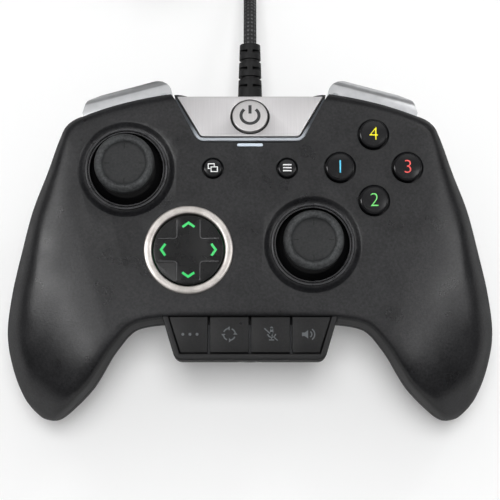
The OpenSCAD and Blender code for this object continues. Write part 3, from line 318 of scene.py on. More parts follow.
world = bpy.data.worlds.new("plain_studio")
bpy.context.scene.world = world
world.use_nodes = True
tree = world.node_tree
tree.nodes["Background"].inputs["Color"].default_value = (1, 1, 1, 1)
way = add(tree, "TexCoord")
height = add(tree, "SeparateXYZ", {0: way.outputs["Generated"]})
above = add(tree, "Math", {0: height.outputs["Z"]}, {1: 6}, operation="POWER", use_clamp=True)
tent = add(tree, "MapRange", {"Value": above.outputs[0]}, {"To Min": 0.24, "To Max": 0.6})
tree.links.new(tent.outputs[0], tree.nodes["Background"].inputs["Strength"])
bpy.context.scene.view_settings.view_transform = "Standard"

# %% [markdown]
# ## Finishes
# Each finish is named for the real material. The face is moulded ABS with a fine spark-eroded
# grain and a soft lacquer: matt, with broad weak highlights. Grain finer than a pixel is drawn
# a little coarser so that it still breaks up the sheen.

# %% Moulded plastics and rubbers
SPECK_MM = 0.7


def moulded(name, colour, worn, roughness, grain_mm, depth_mm, blotch_mm=18, specular=0.5, mottle=0,
            side_roughness=None):
    material, tree, shader = new_material(name, colour, roughness, specular=specular)
    place = add(tree, "TexCoord")
    grain = noise(tree, place, grain_mm, 3, 0.6)
    blotch = noise(tree, place, blotch_mm, 4, 0.55)
    speck = noise(tree, place, SPECK_MM, 2)
    mixed = add(tree, "Mix", {"A": blotch, "B": speck}, {"Factor": mottle})
    two_tones(tree, shader, mixed.outputs["Result"], colour, worn, 0.38, 0.68)
    rough = add(tree, "MapRange", {"Value": blotch},
                {"From Min": 0.3, "From Max": 0.7, "To Min": roughness - 0.05, "To Max": roughness + 0.05})
    tree.links.new(rough.outputs[0], shader.inputs["Roughness"])
    if side_roughness:
        facing = add(tree, "SeparateXYZ", {0: place.outputs["Normal"]})
        level = reckon(tree, "ABSOLUTE", facing.outputs["Z"])
        steep = add(tree, "MapRange", {"Value": level},
                    {"From Min": 0.3, "From Max": 0.8, "To Min": side_roughness - roughness, "To Max": 0})
        duller = reckon(tree, "ADD", rough.outputs[0], steep.outputs[0])
        tree.links.new(duller, shader.inputs["Roughness"])
    bump = add(tree, "Bump", {"Height": grain}, {"Strength": 0.4, "Distance": depth_mm * MM})
    tree.links.new(bump.outputs[0], shader.inputs["Normal"])
    return material


# A lacquered face: charcoal, paler where hands have rubbed it, and duller down its steep sides.
face_plastic = moulded("soft_touch_abs_face", "#0e0e10", "#212123", 0.31, 0.45, 0.08, 9, 0.35, 0.75, 0.75)
# The rear half comes from the same tool grain but is unlacquered.
grip_plastic = moulded("soft_touch_abs_grip", "#0e0e10", "#1c1c1e", 0.38, 0.5, 0.06, 9, 0.3, 0.7, 0.75)
# Panel and keys: plain black ABS with a fine matt grain.
panel_plastic = moulded("matt_abs_panel", "#0f0f10", "#171718", 0.45, 0.4, 0.05, 9, 0.3, 0.5, 0.75)
key_plastic = moulded("matt_abs_key", "#0c0c0d", "#171718", 0.45, 0.35, 0.06, 6, 0.25, 0.5, 0.75)
inner_plastic = moulded("plain_abs_inner", "#161617", "#1c1c1d", 0.5, 0.5, 0.05)
trigger_plastic = moulded("matt_abs_trigger", "#202022", "#29292b", 0.42, 0.5, 0.06)
# Boot: soft PVC, duller than the shell.
boot_rubber = moulded("moulded_pvc_boot", "#0d0d0e", "#161617", 0.55, 0.4, 0.05, 6, 0.25)
# Polished from the mould: near black, so that only its edges show.
gloss_black = moulded("polished_black_abs", "#0d0d0e", "#121213", 0.22, 0.8, 0.0, 18, 0.35)
button_gloss = moulded("clear_coated_button", "#111113", "#161618", 0.16, 0.9, 0.0, 18, 0.35)
pad_plastic = moulded("satin_abs_pad", "#0a0a0b", "#131314", 0.28, 0.4, 0.02, 6, 0.25)
# Painted highlight: pale lines laid along the edges of the pad's raised cross.
pad_edge = moulded("pad_edge_painted_highlight", "#39393b", "#4b4b4d", 0.35, 0.4, 0.02, 3)
# Painted highlight: a paler plastic laid on the tops of the stick rings' two lips.
ring_lip_highlight = moulded("ring_lip_painted_highlight", "#434345", "#525254", 0.3, 0.6, 0.0, 3)
# Thumb caps: TPE rubber, chalky where thumbs have worn the lip.
stick_rubber = moulded("tpe_rubber", "#1d1e1f", "#2c2d2e", 0.62, 0.3, 0.06, 5, 0.3, 0.5)
stick_worn = moulded("worn_tpe_rubber", "#262728", "#484a4b", 0.6, 0.3, 0.06, 4, 0.3, 0.6)
# Painted shade: dark ticks standing for small grooves in the caps' dish.
tick_painted_shade = moulded("groove_painted_shade", "#131414", "#181919", 0.7, 0.3, 0.02, 5, 0.3)
silicone = moulded("grey_silicone", "#4d4e50", "#5a5b5d", 0.5, 0.6, 0.02)
board = moulded("lacquered_glass_board", "#1c5233", "#246b42", 0.35, 0.8, 0.02, 4)
black_board = moulded("black_lacquered_board", "#101011", "#161617", 0.4, 0.8, 0.02, 4)
strap = moulded("woven_nylon_strap", "#161617", "#1f1f20", 0.8, 0.5, 0.2, 3)

# %% Metals, brushed along one line or outwards from a centre
def brushed_metal(name, colour, pale, roughness, metallic, stretch_mm=(1, 1, 1), centre=None):
    material, tree, shader = new_material(name, colour, roughness, metallic)
    place = add(tree, "TexCoord")
    if centre:
        # About a centre the tone varies with the angle: painted sheen in spokes, with roughness and bump
        # following them.
        moved = add(tree, "Mapping", {"Vector": place.outputs["Object"]},
                    {"Location": [-centre[0] * MM, -centre[1] * MM, 0], "Scale": (1, 1, 0)})
        spoke = add(tree, "VectorMath", {0: moved.outputs[0]}, operation="NORMALIZE")
        line = add(tree, "TexNoise", {"Vector": spoke.outputs[0]},
                   {"Scale": 2.5, "Detail": 6, "Roughness": 0.6})
    else:
        moved = add(tree, "Mapping", {"Vector": place.outputs["Object"]},
                    {"Scale": [per_metre(mm) for mm in stretch_mm]})
        line = add(tree, "TexNoise", {"Vector": moved.outputs[0]}, {"Scale": 1, "Detail": 3})
    two_tones(tree, shader, line.outputs["Fac"], colour, pale, 0.3, 0.7)
    rough = add(tree, "MapRange", {"Value": line.outputs["Fac"]},
                {"To Min": roughness - 0.05, "To Max": roughness + 0.05})
    tree.links.new(rough.outputs[0], shader.inputs["Roughness"])
    bump = add(tree, "Bump", {"Height": line.outputs["Fac"]}, {"Strength": 0.25, "Distance": 0.02 * MM})
    tree.links.new(bump.outputs[0], shader.inputs["Normal"])
    return material


# Plate and home button: brushed aluminium, with its lines running from front to back.
brushed = brushed_metal("brushed_aluminium", "#c3c1c2", "#cbc9ca", 0.38, 0.7, (0.2, 14, 14))
home_metal = brushed_metal("brushed_aluminium_disc", "#c4c2c2", "#cecbcb", 0.34, 0.7, (0.2, 9, 9))
# Shoulder buttons: satin silver paint over ABS.
silver_paint = brushed_metal("satin_silver_paint", "#b0b1b3", "#bcbdbf", 0.3, 0.75, (3, 3, 3))
# Ring round the pad: brushed outwards, with a painted sheen in spokes that vary its tone by angle.
ring_painted_sheen_metal = brushed_metal("brushed_ring_painted_sheen", "#a19c98", "#cbc6c2", 0.34, 0.7, centre=(-19.2, -2))
steel = brushed_metal("zinc_plated_steel", "#a9adb0", "#bcc0c3", 0.32, 1, (2, 2, 2))

# %% Prints, lights and the woven sleeve of the cable
def print_ink(name, colour, glow=0):
    material, tree, shader = new_material(name, colour, 0.35)
    place = add(tree, "TexCoord")
    rough = add(tree, "MapRange", {"Value": noise(tree, place, 0.6, 2)}, {"To Min": 0.25, "To Max": 0.45})
    tree.links.new(rough.outputs[0], shader.inputs["Roughness"])
    if glow:
        shader.inputs["Emission Color"].default_value = hex_colour(colour)
        shader.inputs["Emission Strength"].default_value = glow
    return material


light_white = print_ink("milky_acrylic_diffuser", "#c6d0dc", 0.05)

# The strip round the plate is a light guide, its tone painted light: pale at the front, darker along both
# legs.
light_guide, tree, shader = new_material("acrylic_guide_painted_fade", "#b3b8be", 0.3)
place = add(tree, "TexCoord")
axes = add(tree, "SeparateXYZ", {0: place.outputs["Object"]})
fade = add(tree, "MapRange", {"Value": axes.outputs["Y"]}, {"From Min": 34.2 * MM, "From Max": 38.5 * MM})
two_tones(tree, shader, fade.outputs[0], "#aeb4bb", "#3c4045")

white_ink = print_ink("white_pad_print", "#e9e9e9")
grey_ink = print_ink("grey_pad_print", "#4b4f52")
dark_ink = print_ink("black_pad_print", "#2b2b2d")
# The four coloured prints carry a faint painted glow.
yellow_ink = print_ink("yellow_pad_print", "#f5e800", 0.1)
blue_ink = print_ink("blue_pad_print", "#5fd0f5", 0.1)
red_ink = print_ink("red_pad_print", "#e8524d", 0.1)
green_ink = print_ink("green_pad_print", "#6fd66f", 0.1)
green_light = print_ink("green_backlight", "#1fcc62", 0.03)

# Sleeve: nylon yarns plaited round the cable, black with paler flecks where a yarn turns up.
STITCH_MM, YARNS_ROUND = 2.6, 5
braid, tree, shader = new_material("plaited_nylon_sleeve", "#161617", 0.6)
chart = add(tree, "UVMap", uv_map="along_and_round")
axes = add(tree, "SeparateXYZ", {0: chart.outputs[0]})
run = reckon(tree, "MULTIPLY", axes.outputs["X"], 2 * math.pi * per_metre(STITCH_MM))
lap = reckon(tree, "MULTIPLY", axes.outputs["Y"], 2 * math.pi * YARNS_ROUND)
over = reckon(tree, "SINE", reckon(tree, "ADD", run, lap))
under = reckon(tree, "SINE", reckon(tree, "SUBTRACT", run, lap))
plait = reckon(tree, "MULTIPLY", over, under)
lit = reckon(tree, "MULTIPLY", plait, noise(tree, add(tree, "TexCoord"), 1.3, 2))
two_tones(tree, shader, lit, "#121213", "#565658", 0.1, 0.5)
weave = add(tree, "Bump", {"Height": plait}, {"Strength": 0.7, "Distance": 0.25 * MM})
tree.links.new(weave.outputs[0], shader.inputs["Normal"])

# %% Finishes on the nodes, and the cable set in place of its solids
FINISH = {
    "face_plastic": face_plastic, "grip_plastic": grip_plastic, "brushed_plate": brushed,
    "light_diffuser": light_white, "satin_ring": ring_painted_sheen_metal, "gloss_black_plastic": gloss_black,
    "panel_plastic": panel_plastic, "circuit_board": board, "silicone": silicone,
    "inner_plastic": inner_plastic, "steel": steel, "boot_rubber": boot_rubber, "cable_braid": braid,
    "strap": strap, "plug_plastic": panel_plastic, "stick_rubber": stick_rubber,
    "home_metal": home_metal, "satin_bumper": silver_paint, "trigger_plastic": trigger_plastic}
for row in frame["record"]["subparts"]:
    nodes[row["node"]].data.materials.clear()
    nodes[row["node"]].data.materials.append(FINISH[row["material_slot"]])
nodes["panel_board"].data.materials[0] = black_board
fit(cable, braid, instead_of=("cable_lead", "cable_coil", "cable_tail"))
print("finishes on", len(nodes), "nodes")

# %% [markdown]
# ## The two shells
# The housing is two moulded halves that meet on a line round the sides and droop into the
# grips. No primitive comes near that form, so each half is lofted: fifteen stations run from
# the middle to the tip of a grip, and at each a section, flat on top and round below, is drawn
# between an outer and an inner edge. The solids use the same stations with few sections; here
# many more make the light flow smoothly, and the tips close in a rounded end.

# %% Stations of the loft, in millimetres
FACE_Z, PART_Z, WALL = 48, 33, 2.2
OUTER_EDGE = [(0, 48.4), (17, 48.4), (24.8, 49.35), (40, 46.4), (52.5, 42.3), (58, 39.4), (60.8, 34.7),
              (64.6, 24.5), (69.4, 12.5), (73, -0.5), (76.3, -14), (77.9, -26.5), (76.3, -37.5),
              (73, -46.3), (69, -51.8)]
INNER_EDGE = [(0, -23), (12, -23), (21.5, -23.2), (30, -23.8), (35.5, -25), (38.5, -27), (41, -30),
              (44, -34), (47, -39), (50, -43.4), (53.5, -47), (57, -50), (60, -52.2), (62.5, -53.3),
              (65.5, -53.6)]
PART_DROOP = [0, 0, 0, 0, 0, 0, 0, 0.5, 1.5, 3, 5, 7.5, 10.5, 13.5, 15.5]
CREST_DROP = [-0.4, -0.4, -0.4, -0.4, -0.4, -0.4, -0.4, -0.3, 0.2, 1.4, 3.4, 6.6, 11.5, 18, 26]
UNDERSIDE = [-1.5, -1, 1, 4.5, 7.5, 8.5, 8.5, 7, 4.5, 2, 0, -0.5, 1.5, 6, 12.5]
OUTER_SQUARE = [9, 9, 9, 9, 9, 8, 6, 4.5, 3.6, 3, 2.6, 2.4, 2.2, 2.2, 2.2]
INNER_SQUARE = [20, 20, 20, 20, 20, 18, 16, 14, 12, 10, 9, 7, 5.5, 4, 2.5]
TIP_FROM, TIP = 13.3, 14
SEAM = 0.35


def soft_minimum(a, b, width):
    near = max(width - abs(a - b), 0) / width
    return min(a, b) - near * near * width / 4


def section(t, upper, inset, arc):
    outer, inner = spline(OUTER_EDGE, t), spline(INNER_EDGE, t)
    middle, crest = PART_Z - spline(PART_DROOP, t), FACE_Z - spline(CREST_DROP, t)
    half = math.dist(outer, inner) / 2
    closing = 1 if inset else math.sqrt(max(1 - max((t - TIP_FROM) / (TIP - TIP_FROM), 0) ** 2, 0.002))
    roll = 0.6 + 1.6 * min(max((t - 6.5) / 3, 0), 1)
    points = []
    for k in range(arc + 1):
        c, s = math.cos(math.pi * k / arc), max(math.sin(math.pi * k / arc), 0)
        square = spline(OUTER_SQUARE if c >= 0 else INNER_SQUARE, t) if upper else 2.6
        across = math.copysign(abs(c) ** (2 / square), c) * (half - inset) / half * closing
        rise = s ** (2 / square)
        if upper:
            z = soft_minimum(FACE_Z - inset, middle + closing * rise * (crest - inset - middle), roll)
        else:
            z = max(inset, middle - closing * rise * (middle - spline(UNDERSIDE, t) - inset))
        points.append(tuple((o + i) / 2 + across * (o - i) / 2 for o, i in zip(outer, inner)) + (z,))
    return eased(points, SEAM * closing if not inset else 0, SEAM * closing * (1 if upper else -1))


def eased(points, inward, upward):
    first, last = Vector(points[0]), Vector(points[-1])
    step, lift = (last - first).normalized() * inward, Vector((0, 0, upward))
    ends = first + step, first + lift, last + lift, last - step
    return [tuple(p) for p in ends[:2]] + points[1:-1] + [tuple(p) for p in ends[2:]]


def shell(name, upper, arc=56, steps=6):
    stations = [k / steps for k in range(int(TIP_FROM * steps) + 1)]
    stations += [TIP_FROM + (TIP - TIP_FROM) * math.sin(math.pi / 2 * k / 7) for k in range(1, 8)]
    rows = [(-1, t) for t in reversed(stations[1:])] + [(1, t) for t in stations]
    points = []
    for inset, share in ((0, 1), (WALL, 0.93)):
        for side, t in rows:
            points += [(side * x, y, z) for x, y, z in section(t * share, upper, inset, arc)]
    lining, arc = len(points) // 2, arc + 2
    ring, end = arc + 1, lining - arc - 1
    faces = []
    for i in range(len(rows) - 1):
        a, b = i * ring, (i + 1) * ring
        for j in range(arc):
            faces += [(a + j, b + j, b + j + 1, a + j + 1)]
            faces += [tuple(v + lining for v in reversed(faces[-1]))]
        faces += [(a, a + lining, b + lining, b), (a + arc + lining, a + arc, b + arc, b + arc + lining)]
    for first in (0, end):
        faces += [tuple(range(first, first + ring)), tuple(range(first + lining, first + lining + ring)),
                  (first, first + arc, first + arc + lining, first + lining)]
    return edit(new_piece(name, points, faces=faces), FACE_OUTWARDS)


face_half = shell("front_shell_moulding", True)
belly_half = shell("rear_shell_moulding", False)
print("loft faces:", len(face_half.data.polygons), len(belly_half.data.polygons))

# %% [markdown]
# ## Openings
# The face is cut for the sticks, pads and buttons, each with a small lead-in that catches the
# light, and both halves for the bays of the shoulder buttons. Round cutters are profiles spun
# about an upright line; the others are outlines extruded upwards. Cutters that don't touch are
# joined, so one boolean does them all.

# %% Cutters by spin and by extrusion
def turned(name, profile, at=(0, 0, 0), steps=96):
    points = [(r, 0, z) for r, z in profile]
    piece = new_piece(name, points, [(i, i + 1) for i in range(len(points) - 1)])
    round_once = {"steps": steps, "angle": 2 * math.pi, "center": (0, 0, 0), "axis": (0, 0, 1)}
    edit(piece, (bpy.ops.mesh.spin, round_once), (bpy.ops.mesh.remove_doubles, {"threshold": 1e-6}),
         FACE_OUTWARDS)
    piece.location = Vector(at) * MM
    return freeze(piece)


def prism(name, outline, low, high):
    piece = new_piece(name, [(x, y, low) for x, y in outline], faces=[tuple(range(len(outline)))])
    rise = {"TRANSFORM_OT_translate": {"value": (0, 0, (high - low) * MM)}}
    return edit(piece, (bpy.ops.mesh.extrude_region_move, rise), FACE_OUTWARDS)


def joined(name, pieces):
    bpy.ops.object.select_all(action="DESELECT")
    for piece in pieces:
        piece.select_set(True)
    bpy.context.view_layer.objects.active = pieces[0]
    bpy.ops.object.join()
    pieces[0].name = name
    return pieces[0]


def cut_out(piece, cutter):
    modifier = piece.modifiers.new("opening", "BOOLEAN")
    modifier.operation, modifier.solver, modifier.object = "DIFFERENCE", "EXACT", cutter
    freeze(piece)
    bpy.data.objects.remove(cutter)


def rounded(corners, radius, steps=6):
    outline = []
    for k, corner in enumerate(corners):
        here = Vector(corner)
        before = (Vector(corners[k - 1]) - here).normalized()
        after = (Vector(corners[(k + 1) % len(corners)]) - here).normalized()
        r = radius[k] if isinstance(radius, (list, tuple)) else radius
        if not r:
            outline.append(corner)
            continue
        half = before.angle(after) / 2
        middle = here + (before + after).normalized() * r / math.sin(half)
        start, stop = here + before * r / math.tan(half), here + after * r / math.tan(half)
        for i in range(steps + 1):
            way = (start - middle).lerp(stop - middle, i / steps).normalized()
            outline.append(tuple(middle + way * r))
    return outline


# %% Places on the face, in millimetres
STICKS = {"left": (-38.9, 23.8), "right": (19.6, -0.2)}
PAD = (-19.2, -2)
BUTTONS = {"top": (38.9, 34.85), "left": (28.3, 24.25), "right": (49.5, 24.25), "bottom": (38.9, 13.65)}
SMALL_BUTTONS = {"view": (-11.7, 24), "menu": (11.7, 24)}
LIGHT_BAR = (0, 31.6, 8.2, 1)
STICK_PIVOT_Z = 39.5
PLATE = Matrix.Translation(Vector((0, 34.6, 47.2)) * MM) @ Matrix.Rotation(math.radians(-15), 4, "X")
PLATE_REAR, PLATE_FRONT, PLATE_RUN = 15.5, 23.3, 14.287
PLATE_SLOPE = (PLATE_FRONT - PLATE_REAR) / PLATE_RUN
HOME_RUN = 6.936
BAY_AT, BAY_TURN = Vector((39.0728, 45.8347, 0)) * MM, math.radians(-15.1529)
BAY = Matrix.Translation(BAY_AT) @ Matrix.Rotation(BAY_TURN, 4, "Z")
PANEL_USER, PANEL_FACE, PANEL_CORNER = (23.2, -36.3), (27.3, -22.6), 2.8
SCREWS = [(20.666, 37.294, 8.07), (-20.666, 37.294, 8.07), (61.5, -21.95, 5), (-61.5, -21.95, 5),
          (0, -10.862, 6.59)]


def plate_outline(grow, run, radius):
    rear = PLATE_REAR + grow * (math.sqrt(1 + PLATE_SLOPE ** 2) - PLATE_SLOPE)
    front = rear + (run + grow) * PLATE_SLOPE
    return rounded([(-rear, -grow), (rear, -grow), (front, run), (-front, run)], [radius, radius, 0, 0])


def panel_outline(grow):
    user, face, corner = PANEL_USER[0] + grow, PANEL_FACE[0] + grow, PANEL_CORNER + grow
    low, high = PANEL_USER[1] - grow, PANEL_FACE[1] + grow
    return rounded([(-user, low), (user, low), (face, high), (-face, high)], [corner, corner, 0, 0])


def box_outline(left, right, low, high):
    return [(left, low), (right, low), (right, high), (left, high)]


def turned_to(piece, matrix):
    piece.data.transform(matrix)
    return piece


# %% Cut the face
CUT_LOW, CUT_HIGH, GAP = 40, 52, 0.05


def dish_profile(hole, ring, rim, depth):
    curve = [(k / 10, (k / 10) ** 2 * (3 - 2 * k / 10)) for k in range(11)]
    return ([(0, 30), (hole, 30), (hole, FACE_Z - depth)]
            + [(ring + u * (rim - ring), FACE_Z - depth + lift * (depth + 0.06)) for u, lift in curve]
            + [(rim, FACE_Z + 3), (0, FACE_Z + 3)])


def bore_profile(r, edge=0.22):
    rim = r + edge * 1.2
    return [(0, CUT_LOW), (r, CUT_LOW), (r, FACE_Z - edge), (rim, FACE_Z + GAP), (rim, CUT_HIGH),
            (0, CUT_HIGH)]


round_cuts = [turned("dish_" + side, dish_profile(12.35, 13.08, 15.9, 0.85), (*at, 0), 128)
              for side, at in STICKS.items()]
pad_hole = [(0, CUT_LOW), (13.3, CUT_LOW), (13.3, CUT_HIGH), (0, CUT_HIGH)]
round_cuts += [turned("pad_hole", pad_hole, (*PAD, 0), 128)]
round_cuts += [turned("bore_" + name, bore_profile(4.9), (*at, 0)) for name, at in BUTTONS.items()]
round_cuts += [turned("bore_" + name, bore_profile(3.3), (*at, 0)) for name, at in SMALL_BUTTONS.items()]
x, y, length, width = LIGHT_BAR
half_l, half_w = length / 2 + GAP, width / 2 + GAP
slot_box = box_outline(x - half_l, x + half_l, y - half_w, y + half_w)
round_cuts += [prism("bar_slot", rounded(slot_box, half_w - 0.01), CUT_LOW, CUT_HIGH)]
cut_out(face_half, joined("round_openings", round_cuts))

# %% Cut the bays, the notches and the wells
NOTCH, NOTCH_LIP = (1.8, 19, 3.35), (2.8, 19, 4.35)
LIP_LOW, LIP_HIGH = 47.65, 48.1
TRAY_TOP, TRAY_BACK = 45.6, -18.95
bay_box = box_outline(-15.2, 15.2, -9.4, 30)
notch = turned_to(prism("plate_notch", plate_outline(*NOTCH), -1.5, 15), PLATE)
bays = [turned_to(prism("bay", bay_box, 19, 45.5), BAY) for k in range(2)]
bays[1].data.transform(Matrix.Scale(-1, 4, (1, 0, 0)))
bays[1].data.flip_normals()
panel_cut = prism("panel_notch", panel_outline(GAP), TRAY_TOP - 0.01, 60)
user, face, step = PANEL_USER[0] + GAP, PANEL_FACE[0] + GAP, PANEL_FACE[1]
tray_cut = prism("tray_notch", [(-user, -50), (user, -50), (face, step), (face, TRAY_BACK),
                                (-face, TRAY_BACK), (-face, step)], 20, TRAY_TOP)
boot_hole = turned("boot_hole", [(0, -10), (4.05, -10), (4.05, 10), (0, 10)], steps=64)
boot_hole.data.transform(Matrix.Translation(Vector((0, OUTER_EDGE[0][1], BOOT_END[2])) * MM)
                         @ Matrix.Rotation(-math.pi / 2, 4, "X"))
other = [link("belly_" + piece.name, piece.data.copy()) for piece in bays + [boot_hole]]
cut_out(face_half, joined("straight_openings", [panel_cut, boot_hole, *bays]))
lip_points = []
for outline, z in ((NOTCH, LIP_LOW), (NOTCH_LIP, LIP_HIGH)):
    on_plate = [PLATE @ Vector((x * MM, y * MM, 0)) / MM for x, y in plate_outline(*outline)]
    lip_points += [(p.x, p.y, z) for p in on_plate]
count = len(lip_points) // 2
lip_faces = [tuple(range(count)), tuple(range(count, 2 * count))]
lip_faces += [(k, (k + 1) % count, (k + 1) % count + count, k + count) for k in range(count)]
lip = edit(new_piece("plate_lip", lip_points, faces=lip_faces), FACE_OUTWARDS)
for cutter in (notch, lip, tray_cut):
    cut_out(face_half, cutter)
wells = []
for x, y, low in SCREWS:
    well = [(0, -5), (3.1, -5), (3.1, low - 4.2), (2.8, low - 3.8), (2.8, low), (0, low)]
    wells.append(turned("well", well, (x, y, 0), 48))
cut_out(belly_half, joined("belly_openings", other + wells))
for piece in (face_half, belly_half):
    smooth(piece, 32)
fit(face_half, face_plastic, instead_of=("front_shell",))
fit(belly_half, grip_plastic, instead_of=("rear_shell",))
print("shell faces after cutting:", len(face_half.data.polygons), len(belly_half.data.polygons))

# %% [markdown]
# Under the silver plate the face has a sloping bed, seen only as the dark line between the
# plate and its light strip.

# %% Bed of the plate
bed = turned_to(prism("plate_bed", plate_outline(2.6, 13.1, 3.8), -3.1, -1.52), PLATE)
fit(bed, inner_plastic)

# %% [markdown]
# ## Screws
# Five screws hold the halves from below, each at the bottom of a well. Each is turned, and its
# head is cut by a cross for the driver.

# %% Wells and screws
wells, screws = [], []
cross = [(0.4, 1.5), (-0.4, 1.5), (-0.4, 0.4), (-1.5, 0.4), (-1.5, -0.4), (-0.4, -0.4), (-0.4, -1.5),
         (0.4, -1.5), (0.4, -0.4), (1.5, -0.4), (1.5, 0.4), (0.4, 0.4)]
screw_profile = [(0, 0), (1.5, 0), (2.2, 0.2), (2.5, 0.55), (2.6, 1), (2.6, 2), (1.1, 2), (1.1, 30), (0, 30)]
for x, y, low in SCREWS:
    wall = [(2.8, low - 2.6), (3.5, low - 2.6), (3.5, low + 2.6), (1.5, low + 2.6), (1.5, low + 2.05),
            (2.8, low + 2.05), (2.8, low - 2.6)]
    wells.append(turned("well_wall", wall, (x, y, 0), 48))
    screw = turned("shell_screw", screw_profile, (x, y, low), 48)
    slot = prism("driver_cross", [(px + x, py + y) for px, py in cross], low - 1, low + 1.2)
    cut_out(screw, slot)
    screws.append(screw)
fit(smooth(joined("screw_wells", wells)), grip_plastic)
fit(smooth(joined("shell_screws_turned", screws)), steel, instead_of=("shell_screws",))
print("screws:", len(screws))

# %% [markdown]
# ## Edges
# A moulded or pressed piece never has a knife edge. Most straight-sided pieces take the shape
# of their solids, with every sharp edge rounded by its own small radius so that it draws a
# thin line of light.

# %% Copies of the solids with rounded edges
bodies = frame["record"]["behaviour"]["bodies"]
BODY_OF = {node: body for body, members in bodies.items() for node in members}


def edged(node, radius, material, segments=3, angle=28, corner=0, is_corner=None):
    piece = link(node + "_edged", nodes[node].data.copy())
    edit(piece, (bpy.ops.mesh.remove_doubles, {"threshold": 2e-6}),
         (bpy.ops.mesh.dissolve_limited, {"angle_limit": math.radians(0.6)}))
    if corner:
        bpy.ops.object.mode_set(mode="EDIT")
        bpy.ops.mesh.select_mode(type="EDGE")
        bpy.ops.mesh.select_all(action="DESELECT")
        bpy.ops.object.mode_set(mode="OBJECT")
        for edge in piece.data.edges:
            edge.select = is_corner(*(piece.data.vertices[v].co / MM for v in edge.vertices))
        print(node, "corners to round:", sum(edge.select for edge in piece.data.edges))
        bpy.ops.object.mode_set(mode="EDIT")
        bpy.ops.mesh.bevel(offset=corner * MM, segments=6, affect="EDGES")
        bpy.ops.mesh.select_mode(type="VERT")
        bpy.ops.object.mode_set(mode="OBJECT")
    rounding = piece.modifiers.new("rounding", "BEVEL")
    rounding.width, rounding.segments = radius * MM, segments
    rounding.limit_method, rounding.angle_limit = "ANGLE", math.radians(angle)
    rounding.harden_normals = False
    freeze(piece)
    smooth(piece, 40)
    return fit(piece, material, BODY_OF[node], (node,))


# Two places take a larger radius: the lower corners of the triggers and the folds of the strap.
TIP_BESIDE, TIP_BELOW = 12.2, 12
STRAP_WAY = Matrix.Rotation(math.radians(290), 3, "Z") @ Vector((0, 1, 0))
STRAP_FOLD = 8


def tip_corner(a, b):
    across = [abs((BAY.inverted() @ Vector((abs(p.x), p.y, p.z)) * MM).x / MM) for p in (a, b)]
    return min(across) > TIP_BESIDE and max(a.z, b.z) < TIP_BELOW


def fold_of_strap(a, b):
    way = (b - a).normalized()
    return abs(way.dot(STRAP_WAY)) > 0.99 and (b - a).length > STRAP_FOLD


edged("centre_plate", 0.22, brushed)
edged("plate_light_strip", 0.2, light_guide)
edged("status_light_bar", 0.18, light_white)
edged("panel_tray", 0.35, panel_plastic)
edged("panel_bezel", 0.4, panel_plastic)
for key in ("profile_key", "remap_key", "mute_key", "volume_key"):
    edged(key, 0.2, key_plastic)
edged("headset_socket", 0.2, gloss_black)
for side in ("left", "right"):
    edged(side + "_bumper", 0.45, silver_paint, 4)
    edged(side + "_trigger", 0.5, trigger_plastic, 4, corner=4.5, is_corner=tip_corner)
edged("trigger_frames", 0.2, inner_plastic)
edged("cable_boot", 0.28, boot_rubber)
edged("cable_tie", 0.25, strap, angle=40, corner=0.9, is_corner=fold_of_strap)
edged("usb_plug_body", 0.7, panel_plastic)
edged("usb_plug_shell", 0.12, steel)
edged("dpad", 0.45, pad_plastic)

# %% [markdown]
# ## Round controls
# Rings, buttons and thumb caps are turned shapes on the real pad's tools too, so each is a
# profile spun about its axis. The profiles carry the fillets that a solid leaves out: the lip
# of a ring, the crown of a button, the worn lip and dished middle of a thumb cap.

# %% Rings
def fillet(corner, before, after, radius, steps=5):
    arc = rounded([before, corner, after], [0, radius, 0], steps)
    return arc[1:-1]


def lifted(profile, z):
    return [(r, h + z) for r, h in profile]


pad_ring = lifted([(11.45, -2.8), (13.25, -2.8), (13.25, 0), (13.95, 0), (13.95, 0.45), (13.88, 0.72),
                   (13.7, 0.9), (13.45, 0.98), (12.7, 1.06), (11.95, 1.0), (11.68, 0.92), (11.52, 0.72),
                   (11.45, 0.4), (11.45, -2.8)], FACE_Z)
metal_ring = smooth(turned("pad_ring_turned", pad_ring, (*PAD, 0), 160))
fit(metal_ring, ring_painted_sheen_metal, instead_of=("dpad_ring",))
stick_ring = lifted([(11.55, -2.5), (12.3, -2.5), (12.3, -0.85), (13, -0.85), (13, -0.2), (12.94, 0.08),
                     (12.8, 0.28), (12.6, 0.36), (12.42, 0.28), (12.32, 0.06), (12.3, -0.5), (11.95, -0.5),
                     (11.93, 0.06), (11.87, 0.26), (11.74, 0.34), (11.62, 0.26), (11.55, 0), (11.55, -2.5)],
                    FACE_Z)
rings = [turned("ring_" + side, stick_ring, (*at, 0), 160) for side, at in STICKS.items()]
rings = fit(smooth(joined("stick_rings_turned", rings), 45), gloss_black,
            instead_of=("stick_rings",))
# Faces above the face level, the tops of both lips, take the paler material: painted highlight.
rings.data.materials.append(ring_lip_highlight)
for face in rings.data.polygons:
    face.material_index = 1 if face.center.z > (FACE_Z + 0.1) * MM else 0

# %% Buttons
CROWN, FLANGE = 0.2, 0.8
BUTTON_R, BUTTON_RISE = 4.5, 1.9
SMALL_R, SMALL_RISE = 2.9, 1.1


def button_profile(r, rise, stem):
    top = [(r, rise - 1.0)] + fillet((r, rise - 0.42), (r, rise - 1.4), (r - 1.4, rise - 0.2), 0.5)
    shares = [0.86 - 0.086 * k for k in range(11)]
    below = [(0, -4.6), (stem, -4.6), (stem, -3.7), (r + FLANGE, -3.7), (r + FLANGE, -2.5), (r, -2.5)]
    return below + top + [(r * share, rise - CROWN * share ** 2) for share in shares]


def button(node, at, r, rise, stem):
    cap = turned(node + "_cap", lifted(button_profile(r, rise, stem), FACE_Z), (*at, 0))
    fit(smooth(cap), button_gloss, BODY_OF[node], (node,))


